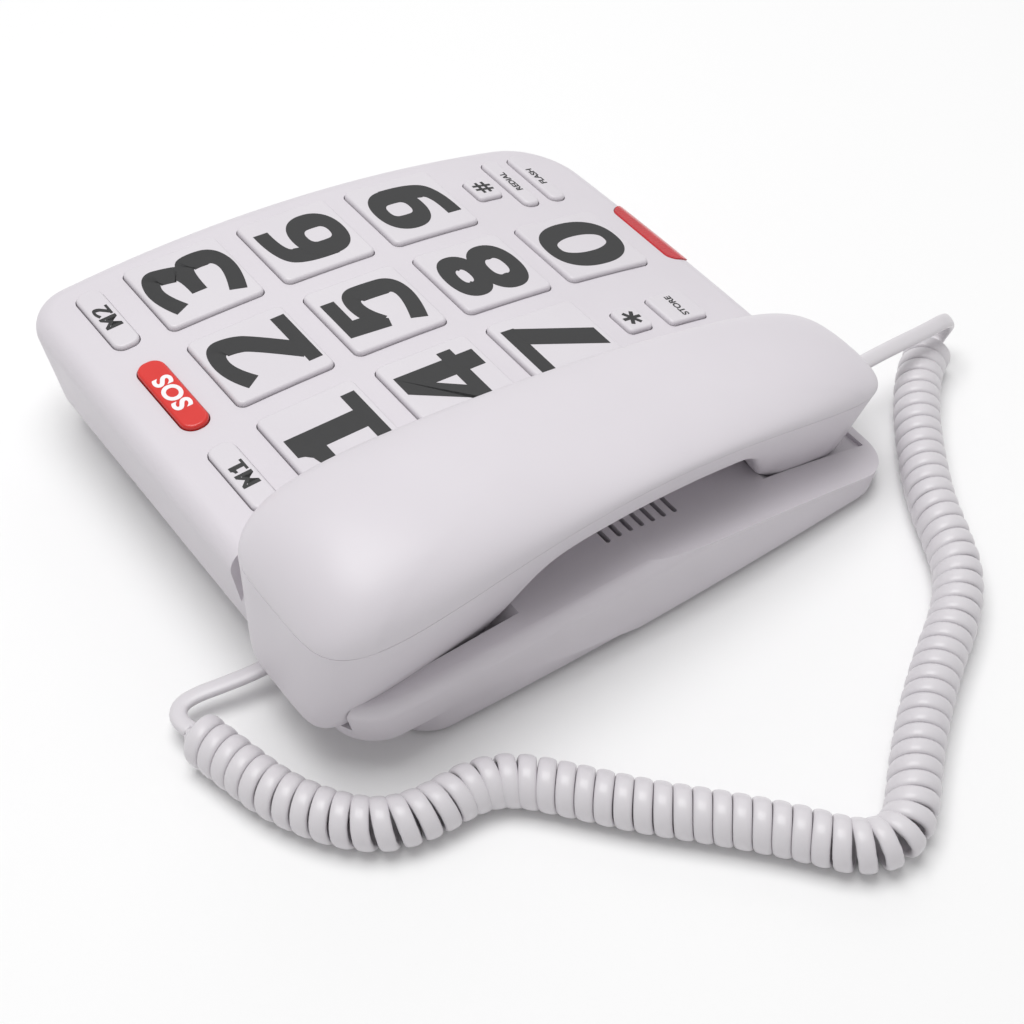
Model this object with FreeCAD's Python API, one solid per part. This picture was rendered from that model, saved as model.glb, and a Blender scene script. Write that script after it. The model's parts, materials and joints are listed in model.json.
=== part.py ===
"""Corded desk telephone with a big-button keypad and a handset lying in a side cradle.

Millimetres. +Z is up, +Y runs from the front edge to the rear, +X runs from the handset
side to the keypad side. The origin is on the table, under the centre of the phone.
Every piece is one solid (or a group of identical solids) in its own STEP file.
"""
import FreeCAD, Part
import math
import os

V = FreeCAD.Vector

# ---------------------------------------------------------------- driving dimensions
# Base, seen from above
BODY_HALF_WIDTH = 92.0      # at the height of the panel's crest
SIDE_BOW_REAR = 3.0         # how far the sides pull in at the rear corners
SIDE_BOW_FRONT = 0.8        # and at the front corners
BODY_FRONT_Y = -98.4        # middle of the bowed front edge
FRONT_BOW = 3.0             # how far the front corners pull back
BODY_REAR_Y = 94.0
CORNER_RADIUS = 14.0
FRONT_RIGHT_RADIUS = 23.0   # the corner beside the redial and flash keys
SIDE_DRAFT = 0.12           # the walls lean in towards the table, mm per mm
WALL = 2.4                  # housing wall

# Keypad panel: part of a cylinder that lies along X
PANEL_RADIUS = 577.0
PANEL_CREST_Y = 76.9        # where the panel is level
PANEL_CREST_Z = 42.9
TOP_EDGE_RADIUS = 6.0

# Seam between the housings: level at the front, then rising to a higher level at the rear
FOOT_HEIGHT = 1.2           # gap under the lower housing
SEAM_Z = 2.2
SEAM_RISE_Y = 2.0           # where it starts to rise
SEAM_TOP_Y = 48.0           # where it is level again
SEAM_REAR_Z = 14.0
FLANGE_RISE = 1.6           # lower housing flange over the seam
STAND_INSET = 1.4           # the stand's side faces, in from the sides of the base
STAND_REAR_Y = 73.6
FIT_GAP = 0.3               # lower housing flange inside the upper housing walls

# Cradle for the handset
CRADLE_EDGE_X = -32.35       # the step down from the keypad panel
CRADLE_DROP = 10.0          # cradle floor below the panel curve
CRADLE_REAR_Z = 27.5        # level rear stretch of the cradle floor
CRADLE_EDGE_RADIUS = 3.5
POCKET_GAP = 0.6            # handset cup to pocket wall
SEAT_GAP = 0.3              # handset cup to pocket floor

# Handset, in its own tilted frame: s along it, w up
HANDSET_X = -59.95
HANDSET_Y = -0.4             # its middle
HANDSET_HALF_LENGTH = 95.4
HANDSET_TILT = 6.2          # degrees, ear end up
HANDSET_CREASE_Z = 53.4     # height of the crease at mid length
GRIP_HALF_WIDTH = 25.4
END_WIDENING = 2.9
EAR_WIDENING = 4.4          # ear end wider, mouth end narrower by this
GRIP_CROWN = 6.1            # dome height over the crease, at mid length
END_CROWN = 15.8
EAR_CROWN = 6.2
CREASE_SAG = 16.7           # crease lower at the ends
CREASE_LIFT = 3.7
PLAN_POWER = 4.9
CROWN_POWER = 4.0
HANDSET_WALL = 2.2
SHELL_DRAFT = 0.34          # side walls lean in below the crease
SHELL_GAP = 0.15            # parting gap between the handset shells
GRIP_DEPTH = 10.4           # underside below the crease plane, at mid length
EAR_CUP_Z = 18.6            # underside of the ear cup
EAR_CUP_FRONT_Y = 46.6
EAR_CUP_REAR_Y = 85.6
MOUTH_CUP_REAR_Y = -57.4
MOUTH_CUP_FRONT_Y = -85.4
MOUTH_CUP_REAR_DEPTH = 4.0  # underside of the mouth cup, below the cradle floor
MOUTH_CUP_FRONT_DEPTH = 2.0
CUP_RUN = 11.0              # length of the slope between cup and grip
MICROPHONE_INSET = 9.6      # microphone, from the mouth cup's rear end

# Keys
KEY_PITCH_X = 38.0
KEY_PITCH_Y = 37.9
KEY_WIDTH = 30.5
KEY_DEPTH = 30.8
KEY_MIDDLE_X = 27.35         # middle column
KEYPAD_TILT = -8.5          # panel slope midway between rows 2 and 3, degrees
KEY_CORNER = 2.2
KEY_EDGE = 0.9              # rounding of the key tops
KEY_PROUD = 1.4
KEY_GAP = 0.35              # key to key hole
KEY_TRAVEL = 1.5
KEY_FLANGE = 1.0            # flange width and thickness
STEM_SIZE = 6.0
STEM_CLEARANCE = 0.7        # stem end over its pressed dome; covers the panel's slope against the board
DOME_HEIGHT = 0.7
BOARD_DEPTH = 14.6          # keypad board below the panel surface, at the keypad's centre
BOARD_THICKNESS = 1.6
BOARD_MARGIN = 7.0          # keypad board beyond the outer key columns
MEMBRANE_THICKNESS = 0.6
SMALL_KEY_Y = -53.8         # star and hash
MEMORY_KEY_Y = 75.9         # M1, SOS, M2
MEMORY_KEY_DEPTH = 8.0

# Ring lamp over the front edge
LAMP_LENGTH = 32.5
LAMP_HEIGHT = 8.5
LAMP_PROUD = 0.4
LAMP_TURN = 50.0            # degrees, its axis from upright towards the front
LAMP_RAISE = 2.2            # its middle, above the sharp edge, along its height

# Speaker slots in the cradle floor
SLOT_COUNT = 7
SLOT_PITCH = 3.77
SLOT_WIDTH = 1.5
SLOT_LENGTH = 25.0
SLOT_OUTER_X = -75.2
SLOT_MIDDLE_Y = -7.5
SPEAKER_RADIUS = 18.0
SPEAKER_HEIGHT = 9.0

# Hook switch
HOOK_Y = 55.6
HOOK_WIDTH = 9.0
HOOK_DEPTH = 6.0
HOOK_LENGTH = 9.0
HOOK_TRAVEL = 4.2

# Sockets and plugs
HANDSET_SOCKET_WIDTH = 8.0
HANDSET_SOCKET_HEIGHT = 6.8
LINE_SOCKET_WIDTH = 9.9
LINE_SOCKET_HEIGHT = 6.9
SOCKET_DEPTH = 12.0
JACK_WALL = 1.4
PLUG_GAP = 0.2
PLUG_LENGTH = 12.0
PLUG_IN = 8.0               # length of the plug inside its socket
BASE_JACK_X = -43.3
LINE_JACK_X = 38.65
JACK_Z = 8.6
HANDSET_JACK_Z = 22.0

# Fasteners and feet
SCREW_RADIUS = 1.4
SCREW_HEAD_RADIUS = 2.8
BOSS_RADIUS = 3.6
SCREW_HOLE_GAP = 0.1
FOOT_RADIUS = 6.0
FOOT_SIDE_INSET = 24.0
FOOT_FRONT_INSET = 24.0
FOOT_REAR_INSET = 18.0
SCREW_SIDE_INSET = 15.6     # base screws, in from the sides of the base
SCREW_LEFT_FRONT_Y = -61.5
SCREW_RIGHT_FRONT_Y = -53.5
SCREW_REAR_Y = 62.5
LEFT_POST_TOP = 60.0        # the left posts run up to the cradle floor
RIGHT_FRONT_POST_TOP = 12.0
RIGHT_REAR_POST_TOP = 24.0

# Cord
COIL_RADIUS = 6.95
LEAD_RADIUS = 2.4
COIL_ROUTE = (
    (-48.8, 118.4, 7), (-64, 114.8, 7), (-79.6, 110.9, 7), (-94, 102.8, 7),
    (-102.8, 93.6, 7), (-105.6, 81.8, 7), (-105.4, 70.6, 7), (-109.2, 60.8, 7),
    (-120.8, 50.8, 7), (-135.4, 39.2, 7), (-149.8, 25.4, 7), (-164, 13, 7),
    (-177.8, 3, 7), (-180, -9, 7), (-166, -24.2, 7), (-155.6, -37.2, 7),
    (-145.2, -52.4, 7), (-137.4, -66, 7), (-127.2, -77.4, 7), (-115.2, -84, 7),
    (-103.4, -89.8, 7), (-91.4, -98, 7), (-78.8, -107.6, 7), (-68, -117.6, 7),
    (-60.6, -126.6, 7), (-56.6, -134.8, 7))
# From the plug in the base to the coil, and from the plug in the handset to the coil
BASE_LEAD_ROUTE = (
    (-43.3, 86.8, 8.6), (-42.6, 96.4, 8), (-40.8, 105, 7.4), (-39.2, 111.8, 7),
    (-39.6, 117, 7), (-43.35, 119.7, 7), (-48.8, 118.4, 7))
HANDSET_LEAD_ROUTE = (
    (-59.95, -105.5, 22), (-60.2, -116.5, 21.8), (-60.2, -127, 21), (-59.4, -135.4, 20),
    (-56.4, -141.2, 14), (-54.3, -139.5, 7), (-56.6, -134.8, 7))

# ---------------------------------------------------------------- derived values
PANEL_CENTRE_Z = PANEL_CREST_Z - PANEL_RADIUS
FLOOR_Z = FOOT_HEIGHT + WALL
REAR_HALF = BODY_HALF_WIDTH - SIDE_BOW_REAR
FRONT_HALF = BODY_HALF_WIDTH - SIDE_BOW_FRONT
FRONT_CORNER_Y = BODY_FRONT_Y + FRONT_BOW
TALL = 200.0                # longer than anything it cuts


# ---------------------------------------------------------------- helpers
def box(x0, y0, z0, x1, y1, z1):
    """A block between two corners."""
    return Part.makeBox(x1 - x0, y1 - y0, z1 - z0, V(x0, y0, z0))


def rod(radius, length, x, y, z):
    """An upright cylinder standing on z."""
    return Part.makeCylinder(radius, length, V(x, y, z))


def join(shapes):
    """One solid from shapes that share volume."""
    result = shapes[0].multiFuse(list(shapes[1:])).removeSplitter()
    return result


def side_prism(points, x0, x1):
    """A side-view polygon of (y, z) points, drawn across from x0 to x1."""
    corners = [V(x0, y, z) for y, z in points]
    face = Part.Face(Part.makePolygon(corners + corners[:1]))
    return face.extrude(V(x1 - x0, 0, 0))


def rounded_plate(width, depth, z0, z1, corner):
    """A block with rounded upright corners, centred on the Z axis."""
    plate = box(-width / 2, -depth / 2, z0, width / 2, depth / 2, z1)
    uprights = [e for e in plate.Edges if abs(e.tangentAt(e.FirstParameter).z) > 0.9]
    return plate.makeFillet(corner, uprights)


def export(shape, node):
    """Write one piece to its STEP file."""
    shape.exportStep("parts/" + node + ".step")
    print(node, "volume", round(shape.Volume, 1), "solids", len(shape.Solids))


def panel_z(y):
    """Height of the keypad panel surface."""
    return PANEL_CENTRE_Z + math.sqrt(PANEL_RADIUS ** 2 - (y - PANEL_CREST_Y) ** 2)


def cradle_z(y):
    """Height of the cradle floor."""
    return min(panel_z(y) - CRADLE_DROP, CRADLE_REAR_Z)


def seam_z(y):
    """Height of the seam between the two housings."""
    share = (y - SEAM_RISE_Y) / (SEAM_TOP_Y - SEAM_RISE_Y)
    return SEAM_Z + (SEAM_REAR_Z - SEAM_Z) * min(max(share, 0.0), 1.0)


def lean(z):
    """How far the base's walls stand in at a height, from their place at the panel's crest."""
    return SIDE_DRAFT * (PANEL_CREST_Z - z)


def mouth_cup_z(y):
    """Height of the mouth cup's underside."""
    front = cradle_z(MOUTH_CUP_FRONT_Y) - MOUTH_CUP_FRONT_DEPTH
    rear = cradle_z(MOUTH_CUP_REAR_Y) - MOUTH_CUP_REAR_DEPTH
    share = (y - MOUTH_CUP_FRONT_Y) / (MOUTH_CUP_REAR_Y - MOUTH_CUP_FRONT_Y)
    return front + (rear - front) * share


# ---------------------------------------------------------------- base housings
def plan_wire(inset, rear_y, z):
    """The bowed outline of the base at a height, drawn in by inset."""
    inside = inset + lean(z)
    front_left = V(-FRONT_HALF + inside, FRONT_CORNER_Y + inside, z)
    front_mid = V(0, BODY_FRONT_Y + inside, z)
    front_right = V(FRONT_HALF - inside, FRONT_CORNER_Y + inside, z)
    right_mid = V(BODY_HALF_WIDTH - inside, 0, z)
    rear_right = V(REAR_HALF - inside, rear_y - inside, z)
    rear_left = V(-REAR_HALF + inside, rear_y - inside, z)
    left_mid = V(-BODY_HALF_WIDTH + inside, 0, z)
    return Part.Wire([
        Part.Arc(front_left, front_mid, front_right).toShape(),
        Part.Arc(front_right, right_mid, rear_right).toShape(),
        Part.makeLine(rear_right, rear_left),
        Part.Arc(rear_left, left_mid, front_left).toShape()])


def plan_prism(inset, rear_y, z0, z1):
    """The base's outline drawn in by inset, as an upright prism with leaning walls."""
    prism = Part.makeLoft([plan_wire(inset, rear_y, z0), plan_wire(inset, rear_y, z1)], True, True)
    uprights = [e for e in prism.Edges if abs(e.tangentAt(e.FirstParameter).z) > 0.9]
    wide = [e for e in uprights if e.CenterOfMass.x > 0 and e.CenterOfMass.y < 0]
    near = [e for e in uprights if e.CenterOfMass.x < 0 or e.CenterOfMass.y > 0]
    rounded = prism.makeFillet(FRONT_RIGHT_RADIUS - inset, wide)
    kept = [e for e in rounded.Edges for n in near if (e.CenterOfMass - n.CenterOfMass).Length < 0.01]
    return rounded.makeFillet(CORNER_RADIUS - inset, kept)


def under_panel(drop):
    """Everything below the panel curve lowered by drop."""
    radius = PANEL_RADIUS - drop
    ends = (-1.2 * TALL, 1.2 * TALL)
    heights = [PANEL_CENTRE_Z + math.sqrt(radius ** 2 - (y - PANEL_CREST_Y) ** 2) for y in ends]
    left = V(-TALL, ends[0], heights[0])
    crest = V(-TALL, PANEL_CREST_Y, PANEL_CENTRE_Z + radius)
    right = V(-TALL, ends[1], heights[1])
    low_right = V(-TALL, ends[1], -TALL)
    low_left = V(-TALL, ends[0], -TALL)
    edges = [
        Part.Arc(left, crest, right).toShape(),
        Part.makeLine(right, low_right),
        Part.makeLine(low_right, low_left),
        Part.makeLine(low_left, left)]
    return Part.Face(Part.Wire(edges)).extrude(V(2 * TALL, 0, 0))


def above_seam(shift):
    """Everything above the seam line raised by shift."""
    far = 1.5 * TALL
    low = SEAM_Z + shift
    high = SEAM_REAR_Z + shift
    points = ((-far, low), (SEAM_RISE_Y, low), (SEAM_TOP_Y, high), (far, high), (far, far), (-far, far))
    return side_prism(points, -TALL, TALL)


def over_cradle(drop):
    """The space over the cradle floor lowered by drop."""
    floor = under_panel(CRADLE_DROP + drop)
    level = box(-TALL, -TALL, -TALL, TALL, TALL, CRADLE_REAR_Z - drop)
    space = box(-TALL, -TALL, -TALL, CRADLE_EDGE_X + drop, TALL, TALL)
    return space.cut(floor.common(level))


def curved_top_edges(shape):
    """The edges round the panel face."""
    for face in shape.Faces:
        surface = face.Surface
        if isinstance(surface, Part.Cylinder) and abs(surface.Radius - PANEL_RADIUS) < 1.0:
            return face.Edges
    return []


def base_block():
    """The outer form of the base, solid, before the cradle is cut into it."""
    block = plan_prism(0, BODY_REAR_Y, -1, 60).common(under_panel(0))
    return block.makeFillet(TOP_EDGE_RADIUS, curved_top_edges(block))


def cradle_rim_edges(shape):
    """The outer edges of the cradle floor, along the left, front and rear of the base."""
    rim = []
    for edge in shape.Edges:
        middle = edge.valueAt((edge.FirstParameter + edge.LastParameter) / 2)
        ends = [vertex.Point for vertex in edge.Vertexes]
        on_floor = all(abs(p.z - cradle_z(p.y)) < 0.05 for p in ends + [middle])
        outside = middle.x < -0.85 * REAR_HALF or middle.y > BODY_REAR_Y - 6
        outside = outside or middle.y < FRONT_CORNER_Y + 7
        along = abs(ends[0].y - ends[-1].y) > 1 or abs(ends[0].x - ends[-1].x) > 1
        if on_floor and outside and along and middle.x < CRADLE_EDGE_X - 2:
            rim.append(edge)
    return rim


def outer_base():
    """The outer form of the base with the cradle cut and its rim rounded."""
    block = base_block().cut(over_cradle(0))
    rim = cradle_rim_edges(block)
    print("cradle rim edges", len(rim))
    return block.makeFillet(CRADLE_EDGE_RADIUS, rim)


def inner_base():
    """The hollow of the base."""
    block = plan_prism(WALL, BODY_REAR_Y, -2, 60).common(under_panel(WALL))
    block = block.makeFillet(TOP_EDGE_RADIUS - WALL, inner_top_edges(block))
    return block.cut(over_cradle(WALL))


def inner_top_edges(shape):
    """The edges round the underside of the panel."""
    for face in shape.Faces:
        surface = face.Surface
        if isinstance(surface, Part.Cylinder) and abs(surface.Radius - PANEL_RADIUS + WALL) < 0.5:
            return face.Edges
    return []


def cup_half_width(grow, ear):
    """Widest half of a handset cup where it passes the cradle floor, grown by a gap."""
    front, rear = (EAR_CUP_FRONT_Y, EAR_CUP_REAR_Y) if ear else (MOUTH_CUP_FRONT_Y, MOUTH_CUP_REAR_Y)
    widest = 0.0
    for index in range(5):
        y = front + (rear - front) * index / 4
        level = cradle_z(y)
        s = handset_local(y, level)[0]
        crease = handset_point(0, s, crease_w(s / HANDSET_HALF_LENGTH)).z
        widest = max(widest, handset_half_width(s) - (crease - level) * SHELL_DRAFT)
    return widest + grow


def cup_floor(ear, shift):
    """Side view of the space over a pocket floor, as (y, z) points."""
    if ear:
        level = EAR_CUP_Z - SEAT_GAP - shift
        slope_y = EAR_CUP_FRONT_Y - CUP_RUN
        return ((slope_y, CRADLE_REAR_Z + 2 - shift), (EAR_CUP_FRONT_Y - 2, level),
                (TALL, level), (TALL, TALL), (slope_y, TALL))
    front = MOUTH_CUP_FRONT_Y - 3.6 - 0.5 * shift
    rear = MOUTH_CUP_REAR_Y + 1.0
    slope_y = MOUTH_CUP_REAR_Y + CUP_RUN
    drop = SEAT_GAP + shift
    return ((front, mouth_cup_z(front) - drop), (rear, mouth_cup_z(rear) - drop),
            (slope_y, cradle_z(slope_y) + 2 - shift), (slope_y, TALL), (front, TALL))


def pocket(ear, shift):
    """The space that a handset cup stands in, grown by shift."""
    half = cup_half_width(POCKET_GAP + shift, ear)
    return side_prism(cup_floor(ear, shift), HANDSET_X - half, HANDSET_X + half)


def key_places():
    """Every key: node name, x, panel angle, width, depth, corner radius."""
    places = []
    rows = (("1", "2", "3"), ("4", "5", "6"), ("7", "8", "9"))
    for row, names in enumerate(rows):
        angle = KEYPAD_TILT + math.degrees((1.5 - row) * KEY_PITCH_Y / PANEL_RADIUS)
        for column, name in enumerate(names):
            x = KEY_MIDDLE_X + (column - 1) * KEY_PITCH_X
            places.append(("key_" + name, x, angle, KEY_WIDTH, KEY_DEPTH, KEY_CORNER))
    angle = KEYPAD_TILT - math.degrees(1.5 * KEY_PITCH_Y / PANEL_RADIUS)
    places.append(("key_0", KEY_MIDDLE_X, angle, KEY_WIDTH, KEY_DEPTH, KEY_CORNER))
    left = KEY_MIDDLE_X - KEY_PITCH_X
    right = KEY_MIDDLE_X + KEY_PITCH_X
    small = (
        ("key_star", left, SMALL_KEY_Y, 10.8, 8.8, 1.6),
        ("key_hash", right, SMALL_KEY_Y, 10.8, 8.8, 1.6),
        ("key_store", left, SMALL_KEY_Y - 17.0, 13.8, 14.2, 1.6),
        ("key_redial", right, SMALL_KEY_Y - 10.6, 26.4, 5.8, 2.6),
        ("key_flash", right, SMALL_KEY_Y - 20.7, 26.4, 5.8, 2.6),
        ("key_m1", left, MEMORY_KEY_Y, 27.4, MEMORY_KEY_DEPTH, 3.0),
        ("key_sos", KEY_MIDDLE_X, MEMORY_KEY_Y, 30.6, MEMORY_KEY_DEPTH + 0.4, 3.8),
        ("key_m2", right, MEMORY_KEY_Y, 27.4, MEMORY_KEY_DEPTH, 3.0))
    for node, x, y, width, depth, corner in small:
        angle = math.degrees(math.asin((y - PANEL_CREST_Y) / PANEL_RADIUS))
        places.append((node, x, angle, width, depth, corner))
    return places


def on_panel(shape, x, angle):
    """Move a shape modelled at the origin to its place on the panel."""
    reach = math.radians(angle)
    y = PANEL_CREST_Y + PANEL_RADIUS * math.sin(reach)
    z = PANEL_CENTRE_Z + PANEL_RADIUS * math.cos(reach)
    turn = FreeCAD.Rotation(V(1, 0, 0), -angle)
    placed = shape.copy()
    placed.Placement = FreeCAD.Placement(V(x, y, z), turn).multiply(shape.Placement)
    return placed


def key_holes():
    """The openings in the panel for all the keys."""
    holes = []
    for node, x, angle, width, depth, corner in key_places():
        hole = rounded_plate(width + 2 * KEY_GAP, depth + 2 * KEY_GAP, -2 * WALL, WALL,
                             corner + KEY_GAP)
        holes.append(on_panel(hole, x, angle))
    return holes


def speaker_slots():
    """Narrow slots through the cradle floor over the speaker."""
    slots = []
    for index in range(SLOT_COUNT):
        y = SLOT_MIDDLE_Y + (index - (SLOT_COUNT - 1) / 2) * SLOT_PITCH
        bar = rounded_plate(SLOT_LENGTH, SLOT_WIDTH, -2 * WALL, WALL, 0.7)
        bar.translate(V(SLOT_OUTER_X + SLOT_LENGTH / 2, y, cradle_z(y)))
        slots.append(bar)
    return slots


def hook_hole():
    """The opening in the ear pocket floor for the hook plunger."""
    width = HOOK_WIDTH / 2 + KEY_GAP
    depth = HOOK_DEPTH / 2 + KEY_GAP
    z = EAR_CUP_Z
    return box(HANDSET_X - width, HOOK_Y - depth, z - 3 * WALL, HANDSET_X + width, HOOK_Y + depth, z)


def lamp_prism(grow):
    """The stadium that the ring lamp fills, drawn through the front top edge at 45 degrees."""
    half = LAMP_HEIGHT / 2 + grow
    pill = rounded_plate(LAMP_LENGTH + 2 * grow, 2 * half, -14, 14, half - 0.05)
    pill.translate(V(0, LAMP_RAISE, 0))
    pill.rotate(V(0, 0, 0), V(1, 0, 0), LAMP_TURN)
    y = lamp_edge_y()
    pill.translate(V(KEY_MIDDLE_X, y, panel_z(y)))
    return pill


def lamp_edge_y():
    """The front edge of the base at the lamp."""
    return BODY_FRONT_Y + FRONT_BOW * (KEY_MIDDLE_X / FRONT_HALF) ** 2 + lean(panel_z(BODY_FRONT_Y))


def screw_places():
    """Base screws: x, y and the top of the post that each one enters."""
    left = SCREW_SIDE_INSET - BODY_HALF_WIDTH
    right = BODY_HALF_WIDTH - SCREW_SIDE_INSET
    return ((left, SCREW_LEFT_FRONT_Y, LEFT_POST_TOP), (left, SCREW_REAR_Y, LEFT_POST_TOP),
            (right, SCREW_RIGHT_FRONT_Y, RIGHT_FRONT_POST_TOP), (right, SCREW_REAR_Y, RIGHT_REAR_POST_TOP))


def screw_posts():
    """Posts for the base screws, each with a rib to the nearer side wall."""
    posts = []
    for x, y, top in screw_places():
        foot = post_foot_z()
        rib_foot = seam_z(y) + FLANGE_RISE + FIT_GAP
        side = math.copysign(BODY_HALF_WIDTH, x)
        rib = box(min(x, side), y - 1.2, rib_foot, max(x, side), y + 1.2, top)
        posts.append(rod(BOSS_RADIUS, top - foot, x, y, foot).fuse(rib))
    return posts


def post_foot_z():
    """Underside of the screw posts, resting on the lower housing floor."""
    return FLOOR_Z + 0.02


def board_posts():
    """Posts under the panel that the keypad board is screwed to."""
    posts = []
    for x, local_y in board_screw_places():
        post = Part.makeCylinder(BOSS_RADIUS - 0.8, BOARD_DEPTH, V(x, local_y, -BOARD_DEPTH))
        posts.append(keypad_place(post))
    return posts


def board_screw_places():
    """Keypad board screws: x, and distance along the keypad from its centre."""
    left = KEY_MIDDLE_X - KEY_PITCH_X / 2
    right = KEY_MIDDLE_X + KEY_PITCH_X / 2
    return (left, KEY_PITCH_Y), (right, KEY_PITCH_Y), (left, -KEY_PITCH_Y), (right, -KEY_PITCH_Y)


def keypad_place(shape):
    """Move a shape from the keypad's flat tilted frame to its place."""
    placed = shape.copy()
    reach = math.radians(KEYPAD_TILT)
    y = PANEL_CREST_Y + PANEL_RADIUS * math.sin(reach)
    z = PANEL_CENTRE_Z + PANEL_RADIUS * math.cos(reach)
    turn = FreeCAD.Rotation(V(1, 0, 0), -KEYPAD_TILT)
    placed.Placement = FreeCAD.Placement(V(0, y, z), turn).multiply(shape.Placement)
    return placed


def pocket_walls():
    """Thickness round the two pockets, under the cradle floor."""
    walls = []
    for ear in (True, False):
        walls.append(pocket(ear, WALL).cut(over_cradle(-0.01)))
    return walls


def upper_housing():
    """The upper housing: keypad panel, cradle and side walls."""
    outer = outer_base()
    shell = outer.cut(inner_base())
    inside = inner_base()
    posts = [post.common(inside) for post in screw_posts() + board_posts()]
    walls = [wall.common(outer) for wall in pocket_walls()]
    shell = shell.multiFuse(posts + walls)
    shell = shell.common(above_seam(0).fuse(box(-TALL, -TALL, post_foot_z(), TALL, TALL, TALL).common(
        inner_base())))
    cuts = key_holes() + speaker_slots() + [pocket(True, 0), pocket(False, 0), hook_hole()]
    cuts.append(lamp_prism(KEY_GAP / 2))
    for x, y, top in screw_places():
        cuts.append(rod(SCREW_RADIUS + SCREW_HOLE_GAP, 9, x, y, 0))
    for x, local_y in board_screw_places():
        hole = Part.makeCylinder(0.9, 5, V(x, local_y, -BOARD_DEPTH - 0.5))
        cuts.append(keypad_place(hole))
    return shell.cut(cuts).removeSplitter()


def jack_window(x, width, height):
    """The hole in the stand's rear wall for a jack body."""
    half = width / 2 + JACK_WALL + FIT_GAP
    rise = height / 2 + JACK_WALL + FIT_GAP
    return box(x - half, STAND_REAR_Y - 2 * WALL, JACK_Z - rise, x + half, STAND_REAR_Y + 1, JACK_Z + rise)


def lower_housing():
    """The lower housing: floor, stand at the rear and a flange inside the upper housing."""
    stand_rear = STAND_REAR_Y + STAND_INSET + lean(JACK_Z)
    stand = plan_prism(STAND_INSET, stand_rear, FOOT_HEIGHT, 40)
    stand = stand.cut(above_seam(0))
    flange = plan_prism(WALL + FIT_GAP, BODY_REAR_Y, FOOT_HEIGHT, 40)
    flange = flange.common(above_seam(-FIT_GAP)).cut(above_seam(FLANGE_RISE))
    hollow = plan_prism(STAND_INSET + WALL, stand_rear, FLOOR_Z, 60)
    tray = stand.fuse(flange).cut(hollow)
    cuts = [jack_window(BASE_JACK_X, HANDSET_SOCKET_WIDTH, HANDSET_SOCKET_HEIGHT),
            jack_window(LINE_JACK_X, LINE_SOCKET_WIDTH, LINE_SOCKET_HEIGHT)]
    for x, y, top in screw_places():
        cuts.append(rod(SCREW_RADIUS + SCREW_HOLE_GAP, 10, x, y, 0))
        cuts.append(rod(SCREW_HEAD_RADIUS + SCREW_HOLE_GAP, 1.3, x, y, FOOT_HEIGHT - 0.3))
    shelves = []
    for x, y in board_pillar_places():
        shelves.append(rod(3.0, main_board_z() - FLOOR_Z + 0.5, x, y, FLOOR_Z - 0.5))
    tray = tray.multiFuse(shelves).cut(cuts)
    holes = [rod(1.0, 4, x, y, main_board_z() - 3.5) for x, y in board_pillar_places()]
    return tray.cut(holes).removeSplitter()


def base_screws():
    """Four screws from below into the upper housing's posts."""
    screws = []
    for x, y, top in screw_places():
        head = rod(SCREW_HEAD_RADIUS, 0.9, x, y, FOOT_HEIGHT + 0.1)
        shank = rod(SCREW_RADIUS, 7.0, x, y, FOOT_HEIGHT + 0.5)
        screws.append(head.fuse(shank).removeSplitter())
    return Part.makeCompound(screws)


def rubber_feet():
    """Four round feet under the lower housing."""
    feet = []
    side = BODY_HALF_WIDTH - FOOT_SIDE_INSET
    front = BODY_FRONT_Y + FOOT_FRONT_INSET
    rear = STAND_REAR_Y - FOOT_REAR_INSET
    for x, y in ((-side, front), (side, front), (-side, rear), (side, rear)):
        foot = rod(FOOT_RADIUS, FOOT_HEIGHT, x, y, 0)
        low = [e for e in foot.Edges if abs(e.CenterOfMass.z) < 0.01 and e.Length > 1]
        feet.append(foot.makeFillet(0.5, low))
    return Part.makeCompound(feet)


# ---------------------------------------------------------------- keys and keypad
def board_gap(x, angle):
    """Distance from the panel surface down to the membrane, along a key's own axis."""
    reach = math.radians(angle)
    y = PANEL_CREST_Y + PANEL_RADIUS * math.sin(reach)
    z = PANEL_CENTRE_Z + PANEL_RADIUS * math.cos(reach)
    centre = math.radians(KEYPAD_TILT)
    board_y = PANEL_CREST_Y + PANEL_RADIUS * math.sin(centre)
    board_z = PANEL_CENTRE_Z + PANEL_RADIUS * math.cos(centre)
    height = (z - board_z) * math.cos(centre) + (y - board_y) * math.sin(centre)
    return (height + BOARD_DEPTH) / math.cos(reach - centre)


def key(x, angle, width, depth, corner):
    """One key: cap, retaining flange under the panel and a stem over its rubber dome."""
    cap = rounded_plate(width, depth, -WALL - 0.5, KEY_PROUD, corner)
    top = [e for e in cap.Edges if all(abs(v.Point.z - KEY_PROUD) < 0.01 for v in e.Vertexes)]
    cap = cap.makeFillet(min(KEY_EDGE, corner / 2), top)
    side = 2 * (KEY_GAP + KEY_FLANGE)
    flange_top = -WALL - 0.35
    flange = rounded_plate(width + side, depth + side, flange_top - KEY_FLANGE, flange_top, corner)
    stem_end = STEM_CLEARANCE + KEY_TRAVEL + DOME_HEIGHT + MEMBRANE_THICKNESS - board_gap(x, angle)
    size = min(STEM_SIZE, depth - 1.5)
    stem = box(-size / 2, -size / 2, stem_end, size / 2, size / 2, flange_top)
    return on_panel(join([cap, flange, stem]), x, angle)


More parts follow.
